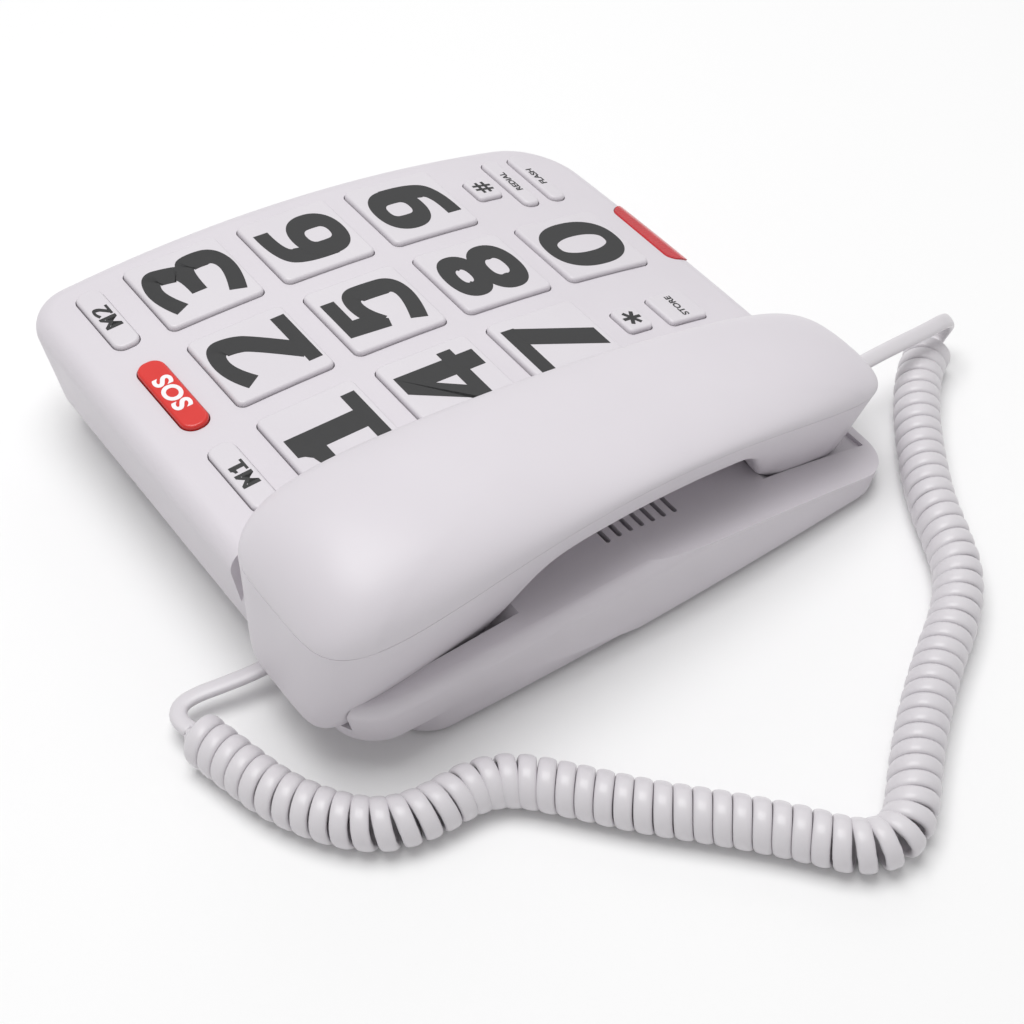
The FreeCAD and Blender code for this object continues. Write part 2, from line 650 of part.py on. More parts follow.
def dome_places():
    """Where each key's stem meets the keypad: x, and distance along the flat board."""
    centre = math.radians(KEYPAD_TILT)
    board_y = PANEL_CREST_Y + PANEL_RADIUS * math.sin(centre)
    board_z = PANEL_CENTRE_Z + PANEL_RADIUS * math.cos(centre)
    places = []
    for node, x, angle, width, depth, corner in key_places():
        reach = math.radians(angle)
        gap = board_gap(x, angle)
        y = PANEL_CREST_Y + (PANEL_RADIUS - gap) * math.sin(reach)
        z = PANEL_CENTRE_Z + (PANEL_RADIUS - gap) * math.cos(reach)
        along = (y - board_y) * math.cos(centre) - (z - board_z) * math.sin(centre)
        places.append((x, along, min(STEM_SIZE, depth - 1.5)))
    return places


def board_outline():
    """The keypad board's edges in the keypad frame: x0, y0, x1, y1."""
    x0 = KEY_MIDDLE_X - KEY_PITCH_X - BOARD_MARGIN
    x1 = KEY_MIDDLE_X + KEY_PITCH_X + BOARD_MARGIN
    alongs = [along for x, along, size in dome_places()]
    return x0, min(alongs) - 6.0, x1, max(alongs) + 5.0


def keypad_membrane():
    """Rubber sheet with a dome under every key."""
    x0, y0, x1, y1 = board_outline()
    base = -BOARD_DEPTH
    sheet = box(x0, y0, base, x1, y1, base + MEMBRANE_THICKNESS)
    domes = []
    for x, along, size in dome_places():
        lower = V(x, along, base + MEMBRANE_THICKNESS / 2)
        domes.append(Part.makeCone(size / 2 + 0.8, size / 2 - 0.4, MEMBRANE_THICKNESS / 2 + DOME_HEIGHT,
                                   lower))
    sheet = sheet.multiFuse(domes)
    holes = [Part.makeCylinder(BOSS_RADIUS, 4, V(x, y, base - 1)) for x, y in board_screw_places()]
    return keypad_place(sheet.cut(holes).removeSplitter())


def keypad_board():
    """Flat circuit board under the membrane."""
    x0, y0, x1, y1 = board_outline()
    top = -BOARD_DEPTH - 0.02
    board = box(x0, y0, top - BOARD_THICKNESS, x1, y1, top)
    holes = [Part.makeCylinder(1.3, 6, V(x, y, top - 4)) for x, y in board_screw_places()]
    return keypad_place(board.cut(holes))


def keypad_screws():
    """Screws that hold the keypad board to the upper housing."""
    screws = []
    top = -BOARD_DEPTH - 0.02 - BOARD_THICKNESS
    for x, y in board_screw_places():
        head = Part.makeCylinder(2.2, 1.2, V(x, y, top - 1.22))
        shank = Part.makeCylinder(0.8, 5.2, V(x, y, top - 1.0))
        screws.append(keypad_place(head.fuse(shank).removeSplitter()))
    return Part.makeCompound(screws)


def ring_lamp_lens():
    """Red lens that wraps over the front edge of the panel."""
    grown = plan_prism(-LAMP_PROUD, BODY_REAR_Y, -1, 60).common(under_panel(-LAMP_PROUD))
    grown = grown.makeFillet(TOP_EDGE_RADIUS, grown_top_edges(grown))
    lens = lamp_prism(0).common(grown).cut(inner_base())
    return biggest(lens)


def grown_top_edges(shape):
    """The edges round the panel face of the block grown by the lamp's stand-out."""
    for face in shape.Faces:
        surface = face.Surface
        if isinstance(surface, Part.Cylinder) and abs(surface.Radius - PANEL_RADIUS - LAMP_PROUD) < 0.3:
            return face.Edges
    return []


def biggest(shape):
    """The largest solid in a shape."""
    return max(shape.Solids, key=lambda solid: solid.Volume)


def ring_led():
    """Two-lead lamp behind the lens, on its own small board."""
    y = lamp_edge_y() + 8.5
    z = panel_z(y) - WALL - 7.0
    board = box(KEY_MIDDLE_X - 9, y, z - 4, KEY_MIDDLE_X + 9, y + 1.2, z + 3)
    led = Part.makeCylinder(1.5, 2.5, V(KEY_MIDDLE_X, y + 0.1, z), V(0, -1, 0))
    return join([board, led])


# ---------------------------------------------------------------- inside the base
def main_board_z():
    """Underside of the main circuit board."""
    return FLOOR_Z + 1.6


def board_pillar_places():
    """Pillars that carry the main board."""
    return ((-18, 8), (74, 8), (-18, 46), (74, 46))


def main_board():
    """Main circuit board on the floor of the stand, with its taller components."""
    z = main_board_z() + 0.02
    board = box(-24, 2, z, 78, 52, z + BOARD_THICKNESS)
    holes = [rod(1.3, 6, x, y, z - 2) for x, y in board_pillar_places()]
    top = z + BOARD_THICKNESS - 0.2
    chips = [
        box(0, 20, top, 14, 32, top + 2.4),
        box(30, 14, top, 38, 22, top + 4.0),
        rod(4, 8.0, 56, 18, top),
        rod(3.2, 7.0, 56, 34, top)]
    return board.cut(holes).multiFuse(chips).removeSplitter()


def main_board_screws():
    """Screws that hold the main board to its pillars."""
    screws = []
    z = main_board_z() + 0.02 + BOARD_THICKNESS
    for x, y in board_pillar_places():
        head = rod(2.3, 1.3, x, y, z + 0.02)
        shank = rod(0.9, 4.2, x, y, z - 3.6)
        screws.append(head.fuse(shank).removeSplitter())
    return Part.makeCompound(screws)


def ringer_speaker():
    """Round speaker under the slots of the cradle floor."""
    front = SLOT_MIDDLE_Y - (SLOT_COUNT - 1) / 2 * SLOT_PITCH
    top = min(cradle_z(SLOT_MIDDLE_Y - SPEAKER_RADIUS), cradle_z(front)) - WALL - 0.5
    x = SLOT_OUTER_X + SLOT_LENGTH / 2
    frame = rod(SPEAKER_RADIUS, 2.5, x, SLOT_MIDDLE_Y, top - 2.5)
    cone = Part.makeCone(7.0, SPEAKER_RADIUS - 2, SPEAKER_HEIGHT - 4.0,
                         V(x, SLOT_MIDDLE_Y, top - SPEAKER_HEIGHT + 1.5))
    magnet = rod(8.0, 4.0, x, SLOT_MIDDLE_Y, top - SPEAKER_HEIGHT)
    dish = Part.makeCone(5.0, SPEAKER_RADIUS - 4, 1.9, V(x, SLOT_MIDDLE_Y, top - 1.9))
    return join([frame, cone, magnet]).cut(dish)


def hook_plunger():
    """Plunger that the ear cup holds down."""
    top = EAR_CUP_Z - SEAT_GAP / 2
    x = HANDSET_X
    peg = box(x - HOOK_WIDTH / 2, HOOK_Y - HOOK_DEPTH / 2, top - HOOK_LENGTH,
              x + HOOK_WIDTH / 2, HOOK_Y + HOOK_DEPTH / 2, top)
    upper = [e for e in peg.Edges if all(abs(v.Point.z - top) < 0.01 for v in e.Vertexes)]
    peg = peg.makeFillet(0.8, upper)
    stop_top = EAR_CUP_Z - SEAT_GAP - WALL - 0.15 - HOOK_TRAVEL
    stop = box(x - HOOK_WIDTH / 2 - 1.5, HOOK_Y - HOOK_DEPTH / 2, stop_top - 1.2,
               x + HOOK_WIDTH / 2 + 1.5, HOOK_Y + HOOK_DEPTH / 2, stop_top)
    return join([peg, stop])


def hook_switch():
    """Leaf switch under the plunger."""
    top = EAR_CUP_Z - SEAT_GAP / 2 - HOOK_LENGTH - 0.3
    x = HANDSET_X
    return box(x - 6, HOOK_Y - 4, FLOOR_Z + 0.02, x + 6, HOOK_Y + 4, top)


def jack(width, height, mouth_y, x, z):
    """A modular jack whose mouth faces +Y."""
    half = width / 2 + JACK_WALL
    rise = height / 2 + JACK_WALL
    body = box(x - half, mouth_y - SOCKET_DEPTH - JACK_WALL, z - rise, x + half, mouth_y, z + rise)
    socket = box(x - width / 2, mouth_y - SOCKET_DEPTH, z - height / 2, x + width / 2, mouth_y + 1,
                 z + height / 2)
    groove = box(x - 1.6, mouth_y - SOCKET_DEPTH, z - height / 2 - 0.8, x + 1.6, mouth_y + 1, z)
    return body.cut(socket).cut(groove)


def jack_contacts(count, width, height, mouth_y, x, z):
    """The sprung contact wires of a jack, as one comb in its roof."""
    wires = []
    for index in range(count):
        at = x + (index - (count - 1) / 2) * 1.27
        wires.append(box(at - 0.2, mouth_y - SOCKET_DEPTH + 0.5, z + height / 2 - 0.4,
                         at + 0.2, mouth_y - 3.0, z + height / 2))
    return wires


def base_jack():
    """Jack in the stand's rear wall for the handset cord."""
    return jack(HANDSET_SOCKET_WIDTH, HANDSET_SOCKET_HEIGHT, STAND_REAR_Y - FIT_GAP, BASE_JACK_X, JACK_Z)


def line_jack():
    """Jack in the stand's rear wall for the telephone line."""
    body = jack(LINE_SOCKET_WIDTH, LINE_SOCKET_HEIGHT, STAND_REAR_Y - FIT_GAP, LINE_JACK_X, JACK_Z)
    wires = jack_contacts(4, LINE_SOCKET_WIDTH, LINE_SOCKET_HEIGHT, STAND_REAR_Y - FIT_GAP, LINE_JACK_X,
                          JACK_Z)
    return body.multiFuse(wires).removeSplitter()


# ---------------------------------------------------------------- handset
def handset_point(x, s, w):
    """A point of the handset frame in the phone's frame."""
    tilt = math.radians(HANDSET_TILT)
    y = HANDSET_Y + s * math.cos(tilt) - w * math.sin(tilt)
    z = HANDSET_CREASE_Z + s * math.sin(tilt) + w * math.cos(tilt)
    return V(HANDSET_X + x, y, z)


def handset_local(y, z):
    """The handset frame's s and w of a point in the phone's frame."""
    tilt = math.radians(HANDSET_TILT)
    rise = z - HANDSET_CREASE_Z
    along = y - HANDSET_Y
    return (along * math.cos(tilt) + rise * math.sin(tilt),
            rise * math.cos(tilt) - along * math.sin(tilt))


def handset_half_width(s, inset=0.0):
    """Half width of the handset at its crease."""
    t = s / HANDSET_HALF_LENGTH
    round_end = max(0.0, 1 - abs(s / (HANDSET_HALF_LENGTH - inset)) ** PLAN_POWER)
    width = GRIP_HALF_WIDTH + END_WIDENING * t * t + EAR_WIDENING * t
    return (width - inset) * round_end ** (1 / PLAN_POWER)


def crease_w(t):
    """Height of the crease in the handset frame."""
    return -CREASE_SAG * t * t + CREASE_LIFT * t ** 4


def crown_height(s, inset=0.0):
    """Height of the dome over the crease."""
    t = s / HANDSET_HALF_LENGTH
    round_end = max(0.0, 1 - abs(s / (HANDSET_HALF_LENGTH - inset)) ** CROWN_POWER)
    return (GRIP_CROWN + END_CROWN * t * t + EAR_CROWN * t - inset) * math.sqrt(round_end)


def underside_points():
    """Side view of the handset's underside, from the mouth end to the ear end, as (s, w)."""
    slope = CUP_RUN
    end = 0.995 * HANDSET_HALF_LENGTH
    lip = 2.5
    points = [
        (-end, crease_w(-0.995) - lip),
        handset_local(MOUTH_CUP_FRONT_Y, mouth_cup_z(MOUTH_CUP_FRONT_Y)),
        handset_local(MOUTH_CUP_REAR_Y, mouth_cup_z(MOUTH_CUP_REAR_Y)),
        (handset_local(MOUTH_CUP_REAR_Y + slope, 30)[0], -GRIP_DEPTH - 3.5),
        (-22.0, -GRIP_DEPTH - 0.4),
        (0.0, -GRIP_DEPTH),
        (20.0, -GRIP_DEPTH - 1.4),
        (handset_local(EAR_CUP_FRONT_Y - slope, 42)[0], -GRIP_DEPTH - 5.5),
        handset_local(EAR_CUP_FRONT_Y, EAR_CUP_Z),
        handset_local(EAR_CUP_REAR_Y, EAR_CUP_Z),
        (end, crease_w(0.995) - lip)]
    return points


def underside_w(s):
    """Height of the underside at s, in the handset frame."""
    points = underside_points()
    for (s0, w0), (s1, w1) in zip(points, points[1:]):
        if s <= s1:
            return w0 + (w1 - w0) * (s - s0) / (s1 - s0)
    return points[-1][1]


def stations(inset):
    """Where the handset's sections stand, closer together near the ends."""
    end = 0.995 * HANDSET_HALF_LENGTH - inset
    steps = (0.0, 0.12, 0.24, 0.36, 0.47, 0.58, 0.68, 0.77, 0.85, 0.91, 0.955, 0.985, 1.0)
    regular = [sign * step * end for step in steps for sign in (-1, 1)]
    corners = [s for s, w in underside_points()[1:-1]]
    wanted = sorted(set(round(s, 3) for s in regular))
    corners = [round(s, 3) for s in corners if abs(s) < end - 1.0]
    kept = [s for s in wanted if all(abs(s - c) > 1.6 for c in corners) or abs(s) > end - 0.5]
    return sorted(set(kept + corners))


def dome_section(s, inset):
    """Section of the dome over the crease: a flat base and a half ellipse."""
    half = handset_half_width(s, inset)
    base = crease_w(s / HANDSET_HALF_LENGTH) + SHELL_GAP / 2
    rise = max(crown_height(s, inset), 0.4)
    left = handset_point(-half, s, base)
    right = handset_point(half, s, base)
    through = []
    for index in range(9):
        reach = math.pi * (1 - index / 8)
        through.append(handset_point(half * math.cos(reach), s, base + rise * math.sin(reach)))
    arch = Part.BSplineCurve()
    arch.interpolate(through)
    return Part.Wire([arch.toShape(), Part.makeLine(right, left)])


def shell_section(s, inset, lift):
    """Section of the lower shell: a trapezium from the crease to the underside."""
    half = handset_half_width(s, inset)
    top = crease_w(s / HANDSET_HALF_LENGTH) - SHELL_GAP / 2 + lift
    bottom = min(underside_w(s) + inset, top - 0.5)
    low_half = max(half - (top - bottom) * SHELL_DRAFT, 1.5)
    corners = [handset_point(x, s, w) for x, w in
               ((-half, top), (-low_half, bottom), (low_half, bottom), (half, top))]
    return Part.makePolygon(corners + corners[:1])


def loft(sections):
    """A solid through sections, straight between them."""
    return Part.makeLoft(sections, True, True)


def handset_back_shell():
    """Upper half of the handset: a long crowned dome, hollow."""
    outer = loft([dome_section(s, 0) for s in stations(0)])
    inner = loft([dome_section(s, HANDSET_WALL) for s in stations(HANDSET_WALL)])
    inner.translate(V(0, 0, -0.4))
    shell = outer.cut(inner)
    posts = []
    for x, y in handset_screw_places():
        s = handset_local(y, 50)[0]
        top = handset_point(0, s, crease_w(s / HANDSET_HALF_LENGTH)).z
        posts.append(rod(3.0, 40, x, y, top + 0.6).common(outer))
    holes = [rod(1.1, 6.0, x, y, screw_post_z(y) - 0.5) for x, y in handset_screw_places()]
    return shell.multiFuse(posts).cut(holes).removeSplitter()


def screw_post_z(y):
    """Foot of a handset screw post."""
    s = handset_local(y, 50)[0]
    return handset_point(0, s, crease_w(s / HANDSET_HALF_LENGTH)).z + 0.6


def handset_screw_places():
    """Handset screws: x and y."""
    return (HANDSET_X, HANDSET_Y + 38.9), (HANDSET_X, HANDSET_Y - 45.1)


def grille_holes():
    """Sound holes in the ear cup's face and the mouth cup's face."""
    holes = []
    y = (EAR_CUP_FRONT_Y + EAR_CUP_REAR_Y) / 2
    for index in range(8):
        turn = 2 * math.pi * index / 8
        holes.append(rod(1.0, 8, HANDSET_X + 7 * math.cos(turn), y + 7 * math.sin(turn), EAR_CUP_Z - 2))
    holes.append(rod(1.0, 8, HANDSET_X, y, EAR_CUP_Z - 2))
    y = MOUTH_CUP_REAR_Y - MICROPHONE_INSET
    for index in range(-1, 2):
        holes.append(rod(0.8, 12, HANDSET_X + 3.5 * index, y, mouth_cup_z(y) - 4))
    return holes


def handset_front_shell():
    """Lower half of the handset: grip underside, ear cup and mouth cup, hollow."""
    outer = loft([shell_section(s, 0, 0) for s in stations(0)])
    inner = loft([shell_section(s, HANDSET_WALL, 1.0) for s in stations(HANDSET_WALL)])
    shell = outer.cut(inner)
    posts = []
    cuts = grille_holes()
    for x, y in handset_screw_places():
        top = screw_post_z(y) - 0.8
        posts.append(rod(3.4, 60, x, y, -5).common(outer).common(box(-TALL, -TALL, -TALL, TALL, TALL, top)))
        floor = top - 5.0
        cuts.append(rod(1.2, 20, x, y, floor - 8))
        cuts.append(rod(2.4, 30, x, y, floor - 30))
    shell = shell.multiFuse(posts)
    half = HANDSET_SOCKET_WIDTH / 2 + JACK_WALL + FIT_GAP
    rise = HANDSET_SOCKET_HEIGHT / 2 + JACK_WALL + FIT_GAP
    cuts.append(box(HANDSET_X - half, -TALL, HANDSET_JACK_Z - rise, HANDSET_X + half,
                    handset_jack_mouth() + 7, HANDSET_JACK_Z + rise))
    return shell.cut(cuts).removeSplitter()


def handset_screws():
    """Two screws that clamp the handset shells."""
    screws = []
    for x, y in handset_screw_places():
        top = screw_post_z(y) - 0.8
        head = rod(2.2, 1.6, x, y, top - 5.0 - 1.65)
        shank = rod(1.0, 9.5, x, y, top - 5.2)
        screws.append(head.fuse(shank).removeSplitter())
    return Part.makeCompound(screws)


def handset_jack_mouth():
    """Where the handset's jack opens, at the mouth end."""
    low_z = mouth_cup_z(MOUTH_CUP_FRONT_Y)
    tip = handset_point(0, -0.995 * HANDSET_HALF_LENGTH, crease_w(-0.995) - 2.5)
    share = (HANDSET_JACK_Z - low_z) / (tip.z - low_z)
    return MOUTH_CUP_FRONT_Y + (tip.y - MOUTH_CUP_FRONT_Y) * share + 0.8


def handset_jack():
    """Jack in the mouth end of the handset, mouth towards -Y."""
    mouth = handset_jack_mouth()
    body = jack(HANDSET_SOCKET_WIDTH, HANDSET_SOCKET_HEIGHT, -mouth, -HANDSET_X, HANDSET_JACK_Z)
    body.rotate(V(0, 0, 0), V(0, 0, 1), 180)
    return body


def earpiece_receiver():
    """Round receiver capsule over the ear cup's sound holes."""
    y = (EAR_CUP_FRONT_Y + EAR_CUP_REAR_Y) / 2
    z = EAR_CUP_Z + HANDSET_WALL + 1.2
    frame = rod(14.5, 4.0, HANDSET_X, y, z)
    magnet = rod(8.0, 8.0, HANDSET_X, y, z)
    return join([frame, magnet])


def receiver_gasket():
    """Foam ring between the receiver and the ear cup."""
    y = (EAR_CUP_FRONT_Y + EAR_CUP_REAR_Y) / 2
    z = EAR_CUP_Z + HANDSET_WALL + 0.1
    return rod(14.0, 1.05, HANDSET_X, y, z).cut(rod(11.0, 3, HANDSET_X, y, z - 1))


def microphone_place():
    """Centre of the microphone's lower face."""
    y = MOUTH_CUP_REAR_Y - MICROPHONE_INSET
    return y, mouth_cup_z(y) + HANDSET_WALL + 2.4


def microphone():
    """Small electret capsule."""
    y, z = microphone_place()
    return rod(4.8, 5.2, HANDSET_X, y, z + 0.02)


def microphone_boot():
    """Rubber boot round the microphone."""
    y, z = microphone_place()
    return rod(6.6, 5.6, HANDSET_X, y, z - 0.5).cut(rod(4.9, 8, HANDSET_X, y, z)).cut(
        rod(2.5, 4, HANDSET_X, y, z - 2))


def handset_weight():
    """Steel bar in the grip, which gives the handset its heft."""
    low = handset_point(0, 0, -GRIP_DEPTH + HANDSET_WALL + 0.9)
    bar = box(-9, -26, 0, 9, 24, 6.0)
    turn = FreeCAD.Rotation(V(1, 0, 0), HANDSET_TILT)
    bar.Placement = FreeCAD.Placement(V(HANDSET_X, low.y, low.z), turn)
    return bar


# ---------------------------------------------------------------- cord
def route_wire(points, name):
    """Straight runs joined by tangent arcs, and its length."""
    corners = [V(*p) for p in points]
    edges = []
    start = corners[0]
    radii = []
    for before, corner, after in zip(corners, corners[1:], corners[2:]):
        came = (corner - before).normalize()
        goes = (after - corner).normalize()
        turn = came.getAngle(goes)
        setback = 0.45 * min((corner - before).Length, (after - corner).Length)
        radius = setback / math.tan(turn / 2)
        first = corner - came * setback
        last = corner + goes * setback
        inward = (goes - came).normalize()
        reach = radius / math.cos(turn / 2) - radius
        middle = corner + inward * reach
        edges.append(Part.makeLine(start, first))
        edges.append(Part.Arc(first, middle, last).toShape())
        start = last
        radii.append(round(radius, 1))
    edges.append(Part.makeLine(start, corners[-1]))
    wire = Part.Wire(edges)
    print(name, "length", round(wire.Length, 1), "radii", radii)
    return wire


def tube(points, radius, name):
    """A round tube along a route."""
    wire = route_wire(points, name)
    start = V(*points[0])
    along = V(*points[1]) - start
    section = Part.Wire([Part.makeCircle(radius, start, along)])
    solid = wire.makePipeShell([section], True, False)
    wanted = math.pi * radius ** 2 * wire.Length
    print(name, "volume over section times length", round(solid.Volume / wanted, 4))
    return solid


def cord_plug(x, y_inner, z):
    """A modular plug lying along Y, its nose at y_inner, the cord side towards +Y."""
    half = HANDSET_SOCKET_WIDTH / 2 - PLUG_GAP
    rise = HANDSET_SOCKET_HEIGHT / 2 - PLUG_GAP
    body = box(x - half, y_inner, z - rise, x + half, y_inner + PLUG_LENGTH, z + rise)
    shoulder = [e for e in body.Edges if all(abs(v.Point.y - y_inner) < 0.01 for v in e.Vertexes)]
    body = body.makeChamfer(0.5, shoulder)
    latch = box(x - 1.3, y_inner + 1.5, z - rise - 0.5, x + 1.3, y_inner + PLUG_LENGTH - 1.0, z)
    return join([body, latch])


def base_plug_nose():
    """Inner end of the plug in the base."""
    return STAND_REAR_Y - FIT_GAP - PLUG_IN


def handset_plug_nose():
    """Inner end of the plug in the handset."""
    return handset_jack_mouth() + PLUG_IN


def cord_plug_base():
    """Plug in the base's handset jack."""
    return cord_plug(BASE_JACK_X, base_plug_nose(), JACK_Z)


def cord_plug_handset():
    """Plug in the handset's jack."""
    plug = cord_plug(-HANDSET_X, -handset_plug_nose(), HANDSET_JACK_Z)
    plug.rotate(V(0, 0, 0), V(0, 0, 1), 180)
    return plug


def cord_lead_base():
    """Straight end of the cord from the base's plug to the coil."""
    start = (BASE_JACK_X, base_plug_nose() + PLUG_LENGTH, JACK_Z)
    return tube((start,) + BASE_LEAD_ROUTE, LEAD_RADIUS, "base lead")


def cord_lead_handset():
    """Straight end of the cord from the handset's plug to the coil."""
    start = (HANDSET_X, handset_plug_nose() - PLUG_LENGTH, HANDSET_JACK_Z)
    return tube((start,) + HANDSET_LEAD_ROUTE, LEAD_RADIUS, "handset lead")


def cord_coil():
    """Outer form of the coiled stretch."""
    return tube(COIL_ROUTE, COIL_RADIUS, "coil")


# ---------------------------------------------------------------- write the pieces
def main():
    """Build every piece and write it."""
    os.makedirs("parts", exist_ok=True)
    export(upper_housing(), "upper_housing")
    export(lower_housing(), "lower_housing")
    export(base_screws(), "base_screws")
    export(rubber_feet(), "rubber_feet")
    for node, x, angle, width, depth, corner in key_places():
        export(key(x, angle, width, depth, corner), node)
    export(keypad_membrane(), "keypad_membrane")
    export(keypad_board(), "keypad_board")
    export(keypad_screws(), "keypad_screws")
    export(ring_lamp_lens(), "ring_lamp_lens")
    export(ring_led(), "ring_led")
    export(main_board(), "main_board")
    export(main_board_screws(), "main_board_screws")
    export(ringer_speaker(), "ringer_speaker")
    export(hook_plunger(), "hook_plunger")
    export(hook_switch(), "hook_switch")
    export(base_jack(), "base_jack")
    export(line_jack(), "line_jack")
    export(handset_back_shell(), "handset_back_shell")
    export(handset_front_shell(), "handset_front_shell")
    export(handset_screws(), "handset_screws")
    export(handset_jack(), "handset_jack")
    export(earpiece_receiver(), "earpiece_receiver")
    export(receiver_gasket(), "receiver_gasket")
    export(microphone(), "microphone")
    export(microphone_boot(), "microphone_boot")
    export(handset_weight(), "handset_weight")
    export(cord_plug_base(), "cord_plug_base")
    export(cord_plug_handset(), "cord_plug_handset")
    export(cord_lead_base(), "cord_lead_base")
    export(cord_lead_handset(), "cord_lead_handset")
    export(cord_coil(), "cord_coil")
    print("handset jack mouth y", round(handset_jack_mouth(), 2))


main()
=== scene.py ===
"""Looks of a corded desk telephone with large keys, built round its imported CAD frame.

Metres, in the frame's own axes: +Z is up, +Y runs from the front edge to the rear and +X from
the handset side to the keypad side. Sizes that are held in millimetres say so in their names.
"""
import json
import logging
import math
from dataclasses import dataclass
from enum import Enum
from typing import Callable, Iterator, Optional, Sequence

import bmesh
import bpy
from mathutils import Matrix, Vector

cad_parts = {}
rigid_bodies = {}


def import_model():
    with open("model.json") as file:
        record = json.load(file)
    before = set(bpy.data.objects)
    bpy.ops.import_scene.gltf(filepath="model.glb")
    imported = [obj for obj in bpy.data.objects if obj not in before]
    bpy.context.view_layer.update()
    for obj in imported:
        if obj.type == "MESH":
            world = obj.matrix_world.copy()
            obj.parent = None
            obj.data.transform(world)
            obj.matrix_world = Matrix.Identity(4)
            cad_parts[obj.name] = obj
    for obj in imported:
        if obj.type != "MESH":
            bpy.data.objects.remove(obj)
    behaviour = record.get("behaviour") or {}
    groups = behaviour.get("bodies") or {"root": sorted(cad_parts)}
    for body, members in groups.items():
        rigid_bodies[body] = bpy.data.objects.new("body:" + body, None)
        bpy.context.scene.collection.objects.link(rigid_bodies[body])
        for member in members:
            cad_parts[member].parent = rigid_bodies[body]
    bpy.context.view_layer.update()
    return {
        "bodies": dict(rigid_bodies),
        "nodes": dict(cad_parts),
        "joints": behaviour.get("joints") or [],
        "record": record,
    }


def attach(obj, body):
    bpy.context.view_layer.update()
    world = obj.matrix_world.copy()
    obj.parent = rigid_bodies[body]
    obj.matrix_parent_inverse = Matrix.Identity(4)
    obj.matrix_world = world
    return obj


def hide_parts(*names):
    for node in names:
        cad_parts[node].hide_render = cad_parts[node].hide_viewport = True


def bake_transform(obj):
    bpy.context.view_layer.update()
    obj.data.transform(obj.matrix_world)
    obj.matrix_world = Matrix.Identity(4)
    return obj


LOG = logging.getLogger("telephone")
MM = 0.001
TOUCH = 1e-7                      # metres: points nearer than this are one
Colour = tuple[float, float, float]


# ---------------------------------------------------------------- shader building
class Signal:
    """A number on a node socket, with arithmetic that adds Math nodes."""

    def __init__(self, shader: "Shader", socket: bpy.types.NodeSocket) -> None:
        """Wrap a socket.

        Args:
            shader: The shader that holds the socket.
            socket: An output socket that carries one number.
        """
        self.shader = shader
        self.socket = socket

    def _math(self, operation: str, first: object, second: object) -> "Signal":
        """Add a Math node.

        Args:
            operation: Blender's name of the operation.
            first: Left operand, a number or a Signal.
            second: Right operand, a number or a Signal.

        Returns:
            The node's result.
        """
        node = self.shader.node("ShaderNodeMath", {"operation": operation}, {0: first, 1: second})
        return Signal(self.shader, node.outputs[0])

    def __add__(self, other: object) -> "Signal":
        """Sum."""
        return self._math("ADD", self, other)

    def __radd__(self, other: object) -> "Signal":
        """Reflected sum."""
        return self._math("ADD", other, self)

    def __sub__(self, other: object) -> "Signal":
        """Difference."""
        return self._math("SUBTRACT", self, other)

    def __rsub__(self, other: object) -> "Signal":
        """Reflected difference."""
        return self._math("SUBTRACT", other, self)

    def __mul__(self, other: object) -> "Signal":
        """Product."""
        return self._math("MULTIPLY", self, other)

    def __rmul__(self, other: object) -> "Signal":
        """Reflected product."""
        return self._math("MULTIPLY", other, self)


